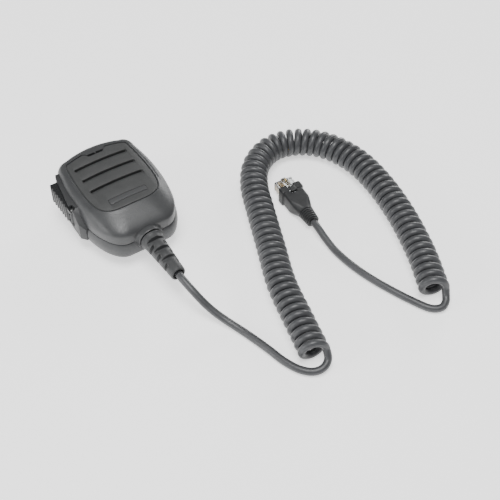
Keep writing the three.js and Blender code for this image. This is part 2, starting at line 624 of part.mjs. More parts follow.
// A rounded rectangle lying across the plug's length, for the boot's skin.
function bootRing(halfWidth, halfHeight, corner, along) {
  const quarter = [0, 1, 2, 3].map((step) => (Math.PI / 2) * (step / 3));
  const centres = [[1, -1], [1, 1], [-1, 1], [-1, -1]];
  const arcs = centres.flatMap(([sx, sy], turn) => quarter.map((angle) => new THREE.Vector3(
    sx * (halfWidth - corner) + corner * Math.cos(angle + (turn - 1) * (Math.PI / 2)),
    sy * (halfHeight - corner) + corner * Math.sin(angle + (turn - 1) * (Math.PI / 2)),
    along,
  )));
  return [new THREE.Vector3(0, -halfHeight, along), ...arcs];
}

function plugBoot() {
  const waist = [plug.waistWidth / 2, plug.waistHeight / 2, 1.8];
  const collarSize = [plug.collarWidth / 2, plug.collarHeight / 2, 1.3];
  const skin = loft([
    bootRing(plug.tailEndRadius, plug.tailEndRadius, plug.tailEndRadius, -plug.tailEnd),
    bootRing(plug.tailRadius, plug.tailRadius, plug.tailRadius, -plug.tailStart),
    bootRing(...waist, -plug.waistEnd), bootRing(...waist, -plug.collarLength),
    bootRing(...collarSize, -plug.collarLength), bootRing(...collarSize, 0),
  ]);
  let solid = toSolid(toGeometry(skin).rotateX(-Math.PI / 2).translate(0, 0, plug.axisZ));
  solid = solid.subtract(block(
    [-plug.bodyWidth / 2 - gap, plug.bodyWidth / 2 + gap], [-plug.bodyInside - gap, 1],
    [plugBottomZ - gap, plugTopZ + gap]));
  const recess = plug.padWidth / 2 + gap;
  return solid.subtract(block([-recess, recess], [-plug.padEnd - gap, 1], [plugTopZ, plug.collarHeight + 1]));
}

const contactPlaces = Array.from({ length: plug.contacts },
  (_, i) => (i - (plug.contacts - 1) / 2) * plug.contactPitch);

function plugBody() {
  const front = plug.bodyOutside;
  const bevel = plug.bodyBevel;
  let solid = sidePlate([
    [-plug.bodyInside, plugBottomZ], [front - bevel, plugBottomZ], [front, plugBottomZ + bevel],
    [front, plugTopZ - bevel], [front - bevel, plugTopZ], [-plug.bodyInside, plugTopZ],
  ], -plug.bodyWidth / 2, plug.bodyWidth / 2);
  const half = plug.contactWidth / 2 + gap / 2;
  for (const x of contactPlaces) {
    solid = solid.subtract(block([x - half, x + half], [front - plug.contactLength - gap, front + 1],
      [plugBottomZ - 1, plugBottomZ + plug.contactHeight + gap]));
  }
  return solid;
}

// The latch's lever, sprung up from its hinge at the plug's nose.
function plugLatch() {
  const lowZ = plugTopZ + gap;
  const rise = plug.latchRise;
  const thick = plug.latchThickness;
  return sidePlate([
    [-plug.padEnd, lowZ + rise], [plug.latchHingeY, lowZ], [plug.latchHingeY, lowZ + thick],
    [-plug.padEnd, lowZ + rise + thick],
  ], -plug.latchWidth / 2, plug.latchWidth / 2);
}

// ---------------------------------------------------------------- the assembly
const root = new THREE.Group();

function add(parent, name, shape, material, at = [0, 0, 0]) {
  const geometry = shape instanceof THREE.BufferGeometry ? shape : toGeometry(shape);
  const mesh = new THREE.Mesh(geometry, material);
  mesh.name = name;
  mesh.position.set(...at);
  parent.add(mesh);
  return mesh;
}

const caseGroup = new THREE.Group();
add(caseGroup, 'front_case', frontCase(), finishes.shell);
add(caseGroup, 'rear_case', rearCase(), finishes.shell);
const badgeShape = block([-badge.length / 2, badge.length / 2], [-badge.width / 2, badge.width / 2],
  [0, badge.thickness]);
add(caseGroup, 'badge_plate', badgeShape, finishes.plate, [0, badgeY, panelZ - badge.recess + gap]);
const slotsHeight = (slots.count - 1) * slots.pitch + slots.ramp;
const clothHalf = [slotHalf + cloth.margin, slotsHeight / 2 + cloth.margin];
add(caseGroup, 'grille_cloth', block([-clothHalf[0], clothHalf[0]], [-clothHalf[1], clothHalf[1]],
  [clothZ, clothZ + cloth.thickness]), finishes.cloth);
screwPlaces.forEach((place, i) => {
  add(caseGroup, `case_screw_${i + 1}`,
    screw(caseScrew.head, caseScrew.headHeight, caseScrew.shank, caseScrew.length), finishes.steel,
    [...place, screwHeadZ]);
});

const keyGroup = new THREE.Group();
add(keyGroup, 'side_bezel', sideBezel(), finishes.bezel);
add(keyGroup, 'talk_key', talkKey(), finishes.key);
add(keyGroup, 'key_hinge_pin',
  rod([0, 0, key.bottom + gap], [0, 0, key.top + gap], hinge.pinRadius, undefined, 16), finishes.steel,
  [hingeX, hingeY, 0]);
add(keyGroup, 'switch_plunger', rod([0, 0, 0], [plunger.length, 0, 0], plunger.radius, undefined, 16),
  finishes.key, [plungerTipX, plungerY, plunger.z]);
add(keyGroup, 'switch_housing', switchHousing(), finishes.part);

const insideGroup = new THREE.Group();
const onBoard = boardTopZ + gap;
add(insideGroup, 'circuit_board', circuitBoard(), finishes.board);
boardScrews.forEach((place, i) => {
  const mesh = add(insideGroup, `board_screw_${i + 1}`,
    screw(boardScrew.head, boardScrew.headHeight, boardScrew.shank, boardScrew.length), finishes.steel,
    [...place, onBoard + boardScrew.headHeight]);
  mesh.rotation.x = Math.PI;
});
add(insideGroup, 'capsule_holder', capsuleHolder(), finishes.rubber, [0, capsule.y, 0]);
add(insideGroup, 'microphone_capsule', rod([0, 0, 0], [0, 0, capsule.height], capsule.radius, undefined, 28),
  finishes.steel, [0, capsule.y, capsuleZ]);
const headerY = boardBottom + header.rise;
add(insideGroup, 'cord_header', block([header.x - header.width / 2, header.x + header.width / 2],
  [headerY - header.depth / 2, headerY + header.depth / 2], [0, header.height]), finishes.part, [0, 0, onBoard]);
add(insideGroup, 'board_chip', block([-chip.width / 2, chip.width / 2], [-chip.depth / 2, chip.depth / 2],
  [0, chip.height]), finishes.part, [chip.x, chip.y, onBoard]);
for (const [name, size] of [['board_capacitor', capacitor], ['level_trimmer', trimmer]]) {
  add(insideGroup, name, rod([0, 0, 0], [0, 0, size.height], size.radius, undefined, 20), finishes.part,
    [size.x, size.y, onBoard]);
}

const buttonGroup = new THREE.Group();
buttonGroup.position.set(0, button.y, 0);
add(buttonGroup, 'hang_button', hangButton(), finishes.steel);
add(buttonGroup, 'hang_button_screw',
  screw(buttonScrew.head, buttonScrew.headHeight, buttonScrew.shank, buttonScrew.length), finishes.steel,
  [0, 0, buttonScrew.sink]);
add(buttonGroup, 'hang_button_nut', hexNut(), finishes.steel, [0, 0, floorZ + gap]);

const cordGroup = new THREE.Group();
const reliefMesh = add(cordGroup, 'strain_relief', strainRelief(), finishes.rubber,
  [0, footY - collar.length - gap, partingZ]);
reliefMesh.rotation.x = Math.PI / 2;
const reliefEndY = footY - collar.length - gap - relief.length;
const tailInnerY = clampY + clamp.width / 2 + clamp.tailBeyond;
add(cordGroup, 'cord_tail',
  rod([0, reliefEndY, partingZ], [0, tailInnerY, partingZ], cord.radius, undefined, 16), finishes.cord);
add(cordGroup, 'cord_clamp', cordClamp(), finishes.steel);
[-1, 1].forEach((side, i) => {
  const shape = screw(clampScrew.head, clampScrew.headHeight, clampScrew.shank, clampScrew.length);
  const mesh = add(cordGroup, `clamp_screw_${i + 1}`, shape, finishes.steel,
    [side * clamp.screwX, clampY, partingZ + cord.radius + clamp.thickness + 2 * gap + clampScrew.headHeight]);
  mesh.rotation.x = Math.PI;
});
add(cordGroup, 'wire_bundle', tube([
  [0, tailInnerY + gap, partingZ], [0.2, tailInnerY + 3, partingZ + 0.1],
  [header.x, headerY - header.depth / 2 - gap, onBoard + header.height / 2],
], wires.radius, wires.sides, wires.steps), finishes.part);
add(cordGroup, 'cord_mic_end', tube(micCordRoute, cord.radius, cord.tubeSides, 34), finishes.cord);
add(cordGroup, 'cord_coil', tube(coilRoute.map(([x, y]) => [x, y, cord.coilRadius]), cord.coilRadius,
  cord.coilSides, 56),
  finishes.cord);
add(cordGroup, 'cord_plug_end', tube(plugCordRoute, cord.radius, cord.tubeSides, 32), finishes.cord);

const plugGroup = new THREE.Group();
plugGroup.position.set(plug.x, plug.y, 0);
plugGroup.rotation.z = THREE.MathUtils.degToRad(plug.turn);
add(plugGroup, 'plug_boot', plugBoot(), finishes.plugBoot);
add(plugGroup, 'plug_body', plugBody(), finishes.clear);
add(plugGroup, 'plug_latch', plugLatch(), finishes.clear);
add(plugGroup, 'latch_pad', block([-plug.padWidth / 2, plug.padWidth / 2], [-plug.padEnd, -plug.padStart],
  [0, plug.padThickness]), finishes.plugBoot, [0, 0, plugTopZ + 2 * gap + plug.latchRise + plug.latchThickness]);
contactPlaces.forEach((x, i) => {
  const half = plug.contactWidth / 2;
  add(plugGroup, `plug_contact_${i + 1}`, block([-half, half],
    [plug.bodyOutside - plug.contactLength, plug.bodyOutside - plug.contactSink], [0, plug.contactHeight]),
  finishes.gold, [x, 0, plugBottomZ]);
});

root.add(caseGroup, keyGroup, insideGroup, buttonGroup, cordGroup, plugGroup);
const crestX = keyFaceX(keyTipY) - key.ribHeight;
root.position.set(-(crestX + halfWidth + rearBulge) / 2, -(reliefEndY + headY + rearBulge) / 2, 0);

export default root;
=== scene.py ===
"""Looks of a hand microphone: a two-shell case, its talk key, a coiled cord and a modular plug.

Sizes are millimetres in the microphone's own frame, which has its origin under the hang-up button, +Z
out of the grille and +Y towards the head. Every piece is scaled to metres and moved to the row's frame
as the last step of its making.
"""

from __future__ import annotations

import json
import logging
import math
from dataclasses import dataclass, replace
from enum import Enum

import bmesh
import bpy
from mathutils import Matrix, Vector
from mathutils.geometry import interpolate_bezier

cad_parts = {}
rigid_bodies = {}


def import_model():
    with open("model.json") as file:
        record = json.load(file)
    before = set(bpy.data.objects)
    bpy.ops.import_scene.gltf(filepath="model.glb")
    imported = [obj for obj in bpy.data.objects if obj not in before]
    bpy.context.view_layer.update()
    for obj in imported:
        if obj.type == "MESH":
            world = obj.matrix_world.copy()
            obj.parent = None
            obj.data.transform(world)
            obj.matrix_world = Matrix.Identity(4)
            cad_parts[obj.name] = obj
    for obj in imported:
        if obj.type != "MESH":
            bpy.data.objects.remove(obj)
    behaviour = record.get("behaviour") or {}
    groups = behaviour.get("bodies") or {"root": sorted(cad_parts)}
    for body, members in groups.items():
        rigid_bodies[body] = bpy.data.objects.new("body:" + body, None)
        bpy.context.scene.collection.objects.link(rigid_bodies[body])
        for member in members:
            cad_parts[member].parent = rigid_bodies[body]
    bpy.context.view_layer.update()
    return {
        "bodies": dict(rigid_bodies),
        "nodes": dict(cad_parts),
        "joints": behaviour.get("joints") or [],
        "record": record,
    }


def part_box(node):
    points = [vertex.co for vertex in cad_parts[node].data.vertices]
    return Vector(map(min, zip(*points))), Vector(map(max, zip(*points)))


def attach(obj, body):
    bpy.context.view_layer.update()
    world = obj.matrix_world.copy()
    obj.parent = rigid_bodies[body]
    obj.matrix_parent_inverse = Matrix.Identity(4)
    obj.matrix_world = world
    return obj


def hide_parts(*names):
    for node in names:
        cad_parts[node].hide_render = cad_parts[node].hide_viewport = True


LOG = logging.getLogger("hand_microphone")
MM = 0.001


# ------------------------------------------------------------------------------------ finishes
class Shader(Enum):
    """The kinds of node that the finishes use."""

    COORDS = "ShaderNodeTexCoord"
    MAPPING = "ShaderNodeMapping"
    NOISE = "ShaderNodeTexNoise"
    WAVE = "ShaderNodeTexWave"
    RAMP = "ShaderNodeValToRGB"
    BUMP = "ShaderNodeBump"
    RANGE = "ShaderNodeMapRange"
    MATH = "ShaderNodeMath"


def linear(code: str) -> tuple[float, float, float, float]:
    """Turns a colour as people write it into the one that a shader takes.

    Args:
        code: the sRGB colour as six hex digits, such as "4b4c4d".

    Returns:
        The linear red, green and blue, and an alpha of 1.
    """
    parts = [int(code[i:i + 2], 16) / 255 for i in (0, 2, 4)]
    flat = [c / 12.92 if c <= 0.04045 else ((c + 0.055) / 1.055) ** 2.4 for c in parts]
    return (flat[0], flat[1], flat[2], 1.0)


def add_node(tree: bpy.types.NodeTree, kind: Shader, settings: dict | None = None,
             links: dict | None = None) -> bpy.types.Node:
    """Adds one node with its settings and its links.

    Args:
        tree: the material's node tree.
        kind: which node.
        settings: values by name: of the node where it has such a property, and of its input otherwise.
        links: inputs by name or number, each with the output that feeds it.

    Returns:
        The new node.
    """
    made = tree.nodes.new(kind.value)
    for name, value in (settings or {}).items():
        if isinstance(name, str) and hasattr(made, name):
            setattr(made, name, value)
        else:
            made.inputs[name].default_value = value
    for name, source in (links or {}).items():
        tree.links.new(source, made.inputs[name])
    return made


def per_metre(size_mm: float) -> float:
    """Gives the texture scale of a pattern whose features are that many millimetres apart."""
    return 1.0 / (size_mm * MM)


@dataclass(frozen=True)
class Finish:
    """A surface: what it is made of, its colour and gloss, and the grain that breaks them up.

    The base colour runs between two near shades in patches of patch_mm, and the roughness swings by
    rough_swing with the same grain that lifts the surface by lift_mm.
    """

    title: str
    colour: str
    shade: str
    roughness: float
    rough_swing: float = 0.04
    grain_mm: float = 0.5
    lift_mm: float = 0.02
    patch_mm: float = 9.0
    metallic: float = 0.0
    ior: float = 1.5
    coat: float = 0.0
    sheen: float = 0.0
    transmission: float = 0.0
    glow: float = 0.0
    detail: float = 2.0

    def build(self) -> bpy.types.Material:
        """Makes the material, or gives back the one already made.

        Returns:
            The material with its node tree.
        """
        known = bpy.data.materials.get(self.title)
        if known:
            return known
        material = bpy.data.materials.new(self.title)
        material.use_nodes = True
        tree = material.node_tree
        surface = tree.nodes["Principled BSDF"]
        for name, value in (("Metallic", self.metallic), ("Coat Weight", self.coat), ("Coat Roughness", 0.25),
                            ("Sheen Weight", self.sheen), ("Transmission Weight", self.transmission),
                            ("Emission Color", (1.0, 1.0, 1.0, 1.0)), ("Emission Strength", self.glow)):
            surface.inputs[name].default_value = value
        if self.metallic < 0.5:
            surface.inputs["IOR"].default_value = self.ior
        self.paint(tree, surface, add_node(tree, Shader.COORDS))
        return material

    def paint(self, tree: bpy.types.NodeTree, surface: bpy.types.Node, coords: bpy.types.Node) -> None:
        """Links the finish's patterns to its shader.

        Args:
            tree: the material's node tree.
            surface: the shader node.
            coords: the node that gives Object coordinates.
        """
        patches = add_node(tree, Shader.NOISE, {"Scale": per_metre(self.patch_mm), "Detail": 3.0},
                           {"Vector": coords.outputs["Object"]})
        shades = add_node(tree, Shader.RAMP, links={"Fac": patches.outputs["Fac"]})
        shades.color_ramp.elements[0].position = 0.35
        shades.color_ramp.elements[0].color = linear(self.shade)
        shades.color_ramp.elements[1].position = 0.65
        shades.color_ramp.elements[1].color = linear(self.colour)
        grain = add_node(tree, Shader.NOISE, {"Scale": per_metre(self.grain_mm), "Detail": self.detail},
                         {"Vector": coords.outputs["Object"]})
        gloss = add_node(tree, Shader.RANGE, {"From Min": 0.3, "From Max": 0.7,
                                              "To Min": self.roughness - self.rough_swing,
                                              "To Max": self.roughness + self.rough_swing},
                         {"Value": grain.outputs["Fac"]})
        bump = add_node(tree, Shader.BUMP, {"Strength": 1.0, "Distance": self.lift_mm * MM},
                        {"Height": grain.outputs["Fac"]})
        tree.links.new(shades.outputs["Color"], surface.inputs["Base Color"])
        tree.links.new(gloss.outputs["Result"], surface.inputs["Roughness"])
        tree.links.new(bump.outputs["Normal"], surface.inputs["Normal"])


@dataclass(frozen=True)
class Brushed(Finish):
    """Metal with fine lines left by turning or brushing, drawn as noise stretched along one axis."""

    stretch: tuple[float, float, float] = (1.0, 1.0, 14.0)

    def paint(self, tree: bpy.types.NodeTree, surface: bpy.types.Node, coords: bpy.types.Node) -> None:
        """Links the stretched lines to colour, gloss and bump.

        Args:
            tree: the material's node tree.
            surface: the shader node.
            coords: the node that gives Object coordinates.
        """
        stretched = add_node(tree, Shader.MAPPING, {"Scale": self.stretch},
                             {"Vector": coords.outputs["Object"]})
        lines = add_node(tree, Shader.NOISE, {"Scale": per_metre(self.grain_mm), "Detail": self.detail},
                         {"Vector": stretched.outputs["Vector"]})
        shades = add_node(tree, Shader.RAMP, links={"Fac": lines.outputs["Fac"]})
        shades.color_ramp.elements[0].color = linear(self.shade)
        shades.color_ramp.elements[1].color = linear(self.colour)
        gloss = add_node(tree, Shader.RANGE, {"To Min": self.roughness - self.rough_swing,
                                              "To Max": self.roughness + self.rough_swing},
                         {"Value": lines.outputs["Fac"]})
        bump = add_node(tree, Shader.BUMP, {"Strength": 0.6, "Distance": self.lift_mm * MM},
                        {"Height": lines.outputs["Fac"]})
        tree.links.new(shades.outputs["Color"], surface.inputs["Base Color"])
        tree.links.new(gloss.outputs["Result"], surface.inputs["Roughness"])
        tree.links.new(bump.outputs["Normal"], surface.inputs["Normal"])


@dataclass(frozen=True)
class Woven(Finish):
    """Cloth with warp and weft threads, drawn as two crossed waves thread_mm apart."""

    thread_mm: float = 0.6

    def paint(self, tree: bpy.types.NodeTree, surface: bpy.types.Node, coords: bpy.types.Node) -> None:
        """Links the crossed threads to colour and bump.

        Args:
            tree: the material's node tree.
            surface: the shader node.
            coords: the node that gives Object coordinates.
        """
        threads = [add_node(tree, Shader.WAVE, {"bands_direction": way,
                                                "Scale": per_metre(self.thread_mm) / 20},
                            {"Vector": coords.outputs["Object"]}) for way in ("X", "Y")]
        cross = add_node(tree, Shader.MATH, {"operation": "MULTIPLY"},
                         {0: threads[0].outputs["Fac"], 1: threads[1].outputs["Fac"]})
        shades = add_node(tree, Shader.RAMP, links={"Fac": cross.outputs["Value"]})
        shades.color_ramp.elements[0].color = linear(self.shade)
        shades.color_ramp.elements[1].color = linear(self.colour)
        bump = add_node(tree, Shader.BUMP, {"Strength": 1.0, "Distance": self.lift_mm * MM},
                        {"Height": cross.outputs["Value"]})
        surface.inputs["Roughness"].default_value = self.roughness
        tree.links.new(shades.outputs["Color"], surface.inputs["Base Color"])
        tree.links.new(bump.outputs["Normal"], surface.inputs["Normal"])


# Spark-eroded ABS: a fine even sparkle over soft highlights. The real grit is about 0.1 mm; it is
# drawn at 0.7 mm so that it shows.
SPARKED_ABS = Finish("spark_eroded_ABS", "404142", "3a3b3c", 0.41, 0.07, grain_mm=0.75, lift_mm=0.06)
# The panel's grit is finer than the case's, so its surface is flatter and duller.
PANEL_ABS = Finish("fine_grained_ABS", "414242", "3d3e3e", 0.5, 0.05, grain_mm=0.6, lift_mm=0.025)
BEZEL_ABS = Finish("matt_moulded_ABS", "353637", "313233", 0.5, 0.04, grain_mm=0.6, lift_mm=0.015)
# The key is moulded in a smoother, blacker grade that catches thin bright lines on its ribs.
KEY_ABS = Finish("semi_gloss_ABS", "232425", "202122", 0.3, 0.04, grain_mm=0.8, lift_mm=0.01)
SANTOPRENE = Finish("moulded_rubber", "373839", "323334", 0.52, 0.06, grain_mm=0.6, lift_mm=0.02, sheen=0.1)
# Polyurethane jacket: satin, with the slight orange-peel of an extruded skin.
JACKET = Finish("polyurethane_jacket", "47484a", "414244", 0.4, 0.05, grain_mm=1.1, lift_mm=0.02)
BOOT_PVC = Finish("moulded_PVC", "2c2d2e", "272829", 0.48, 0.06, grain_mm=0.8, lift_mm=0.02)
CLEAR_PC = Finish("clear_polycarbonate", "f2f5f6", "eceff0", 0.08, 0.02, grain_mm=2.5, lift_mm=0.004,
                  ior=1.586, transmission=1.0)
GOLD = Brushed("gold_plate", "e2bd6a", "cfa44e", 0.25, 0.05, grain_mm=0.5, lift_mm=0.003, metallic=1.0,
               stretch=(12.0, 1.0, 1.0))
NICKEL = Brushed("nickel_plated_steel", "c9cac8", "b4b5b4", 0.28, 0.07, grain_mm=0.5, lift_mm=0.005,
                 metallic=1.0)
ZINC = Finish("zinc_plated_steel", "a9acae", "9a9da0", 0.36, 0.08, grain_mm=0.7, lift_mm=0.006, metallic=1.0)
BADGE = Brushed("dark_anodised_plate", "6a6b6c", "58595a", 0.36, 0.05, grain_mm=0.35, lift_mm=0.004,
                metallic=0.6, stretch=(1.0, 12.0, 1.0))
BOARD = Finish("solder_masked_board", "1f5a3e", "1a4f36", 0.38, 0.05, grain_mm=1.5, lift_mm=0.01)
EPOXY = Finish("moulded_epoxy", "252627", "1f2021", 0.5, 0.05, grain_mm=0.5, lift_mm=0.01)
ACOUSTIC_CLOTH = Woven("acoustic_cloth", "26272a", "0c0c0d", 0.9, lift_mm=0.1)
# The sweep is lit from below, so it glows a little and throws light on the undersides.
PAPER = Finish("matt_white_sweep", "fbfbfb", "f9f9f9", 0.9, 0.02, grain_mm=4.0, lift_mm=0.0, patch_mm=300.0,
               glow=0.95)


# ------------------------------------------------------------------------------------ shaping
Ring = list[Vector]


def loft(bm: bmesh.types.BMesh, rings: list[Ring], cap_first: bool, cap_last: bool) -> None:
    """Grows a skin from ring to ring by extruding the last ring's edges.

    Args:
        bm: the mesh to add to.
        rings: rings of equal point counts, each point of one ring belonging to the same point of the next.
        cap_first: whether the first ring is closed with a face.
        cap_last: whether the last ring is closed with a face. With neither cap the ends are bridged.
    """
    current = bmesh.ops.create_circle(bm, segments=len(rings[0]), radius=1.0)["verts"]
    for vert, point in zip(current, rings[0]):
        vert.co = point
    first = edges_between(current)
    edges = first
    for ring in rings[1:]:
        grown = set(v for v in bmesh.ops.extrude_edge_only(bm, edges=edges)["geom"]
                    if isinstance(v, bmesh.types.BMVert))
        current = [next(e.other_vert(v) for e in v.link_edges if e.other_vert(v) in grown) for v in current]
        for vert, point in zip(current, ring):
            vert.co = point
        edges = edges_between(current)
    if cap_first:
        bmesh.ops.edgeloop_fill(bm, edges=first)
    if cap_last:
        bmesh.ops.edgeloop_fill(bm, edges=edges)
    if not (cap_first or cap_last):
        bmesh.ops.bridge_loops(bm, edges=first + edges)
    face_out(bm)


def face_out(bm: bmesh.types.BMesh) -> None:
    """Points every face of a closed mesh outwards."""
    bmesh.ops.recalc_face_normals(bm, faces=bm.faces[:])
    if bm.calc_volume(signed=True) < 0:
        bmesh.ops.reverse_faces(bm, faces=bm.faces[:])


def edges_between(verts: list[bmesh.types.BMVert]) -> list[bmesh.types.BMEdge]:
    """Gives the edges that join each vertex of a closed ring to the next."""
    return [next(e for e in v.link_edges if e.other_vert(v) is verts[(i + 1) % len(verts)])
            for i, v in enumerate(verts)]


def prism(outline: list[tuple[float, float]], low: float, high: float, rounds: dict[int, float] | None = None,
          segments: int = 5) -> bmesh.types.BMesh:
    """Stands a flat outline up between two heights.

    Args:
        outline: its corners in the XY plane, in order.
        low: the height of its underside.
        high: the height of its top.
        rounds: radii by corner number, for the corners that are rounded.
        segments: how many steps each rounding has.

    Returns:
        A new closed mesh.
    """
    bm = bmesh.new()
    verts = [bm.verts.new((x, y, low)) for x, y in outline]
    bmesh.ops.contextual_create(bm, geom=verts)
    for radius in sorted(set((rounds or {}).values())):
        corners = [verts[i] for i, own in rounds.items() if own == radius]
        bmesh.ops.bevel(bm, geom=corners, offset=radius, offset_type="OFFSET", segments=segments, profile=0.5,
                        affect="VERTICES", material=-1)
    grown = bmesh.ops.extrude_face_region(bm, geom=bm.faces[:])["geom"]
    bmesh.ops.translate(bm, verts=[v for v in grown if isinstance(v, bmesh.types.BMVert)],
                        vec=(0.0, 0.0, high - low))
    face_out(bm)
    return bm


def slab(x: tuple[float, float], y: tuple[float, float], z: tuple[float, float],
         radius: float = 0.0) -> bmesh.types.BMesh:
    """Makes a block between two corners, its upright edges rounded by a radius where one is given."""
    corners = [(x[0], y[0]), (x[1], y[0]), (x[1], y[1]), (x[0], y[1])]
    return prism(corners, z[0], z[1], {i: radius for i in range(4)} if radius else None)


def cylinder(base: Vector, top: Vector, radius: float, sides: int = 40) -> bmesh.types.BMesh:
    """Makes a round bar between two points."""
    bm = bmesh.new()
    along = top - base
    turn = along.to_track_quat("Z", "Y").to_matrix().to_4x4()
    bmesh.ops.create_cone(bm, cap_ends=True, segments=sides, radius1=radius, radius2=radius,
                          depth=along.length, matrix=Matrix.Translation((base + top) / 2) @ turn)
    return bm


def turned(profile: list[tuple[float, float]], steps: int = 72) -> bmesh.types.BMesh:
    """Spins a profile round the Z axis.

    Args:
        profile: points (radius, height) in order. It is closed on itself unless it starts on the axis.
        steps: how many facets go round.

    Returns:
        A new closed mesh.
    """
    bm = bmesh.new()
    verts = [bm.verts.new((radius, 0.0, height)) for radius, height in profile]
    pairs = list(zip(verts, verts[1:]))
    if profile[0][0] > 0:
        pairs.append((verts[-1], verts[0]))
    edges = [bm.edges.new(pair) for pair in pairs]
    bmesh.ops.spin(bm, geom=verts + edges, cent=(0, 0, 0), axis=(0, 0, 1), dvec=(0, 0, 0),
                   angle=2 * math.pi, steps=steps, use_merge=True)
    bmesh.ops.remove_doubles(bm, verts=bm.verts[:], dist=1e-4)
    face_out(bm)
    return bm


def bezier(points: list[Vector], count: int) -> list[Vector]:
    """Samples a Bezier of three or four control points, leaving out its last point."""
    if len(points) == 3:
        a, b, c = points
        points = [a, a.lerp(b, 2 / 3), c.lerp(b, 2 / 3), c]
    return list(interpolate_bezier(*[p.to_3d() for p in points], count + 1))[:-1]


def eased(value: float, low: float, high: float) -> float:
    """Gives 0 below low, 1 above high and a smooth rise between."""
    share = min(1.0, max(0.0, (value - low) / (high - low)))
    return share * share * (3 - 2 * share)


def inset(ring: Ring, distance: float) -> Ring:
    """Moves an anticlockwise outline inwards by a distance in its own plane."""
    moved = []
    for i, point in enumerate(ring):
        along = (ring[(i + 1) % len(ring)] - ring[i - 1]).normalized()
        moved.append(point + Vector((-along.y, along.x, 0)) * distance)
    return moved


def raised(ring: Ring, height: float) -> Ring:
    """Gives the same outline at one height."""
    return [Vector((p.x, p.y, height)) for p in ring]


@dataclass(frozen=True)
class Outline:
    """The right half of a symmetrical plan outline, by its foot, flank, shoulder, brow and crown."""

    foot: tuple[float, float]
    flank: tuple[float, float]
    shoulder: tuple[float, float]
    brow: tuple[float, float]
    crown: float
    fullness: float
    notch: tuple[float, float, float] | None = None

    def ring(self) -> Ring:
        """Samples the whole outline, anticlockwise from the bottom centre.

        Returns:
            Its points at height 0.
        """
        foot, flank, shoulder, brow = (Vector(p) for p in (self.foot, self.flank, self.shoulder, self.brow))
        reach = self.fullness
        right = bezier([Vector((0, foot.y)), foot * Vector((0.5, 1)), foot], 6)
        right += bezier([foot, Vector((foot.x + reach * (flank.x - foot.x), foot.y)),
                         Vector((flank.x, flank.y - reach * (flank.y - foot.y))), flank], 34)
        right += bezier([flank, Vector((flank.x, (flank.y + shoulder.y) / 2)), shoulder], 12)
        right += bezier([shoulder, Vector(((shoulder.x * 3 + brow.x) / 4 + 1, brow.y)), brow], 14)
        right += bezier([brow, Vector((brow.x / 2, self.crown)), Vector((0, self.crown))], 24)
        left = [Vector((-p.x, p.y, 0)) for p in reversed(right[1:])]
        return [self.notched(p) for p in [*right, Vector((0, self.crown, 0)), *left]]

    def notched(self, point: Vector) -> Vector:
        """Pulls a point of the crown down into the notch, if the outline has one."""
        if self.notch is None or point.y < 10:
            return point
        inner, outer, floor = self.notch
        share = eased(abs(point.x), inner, outer)
        return Vector((point.x, floor + (point.y - floor) * share, 0))


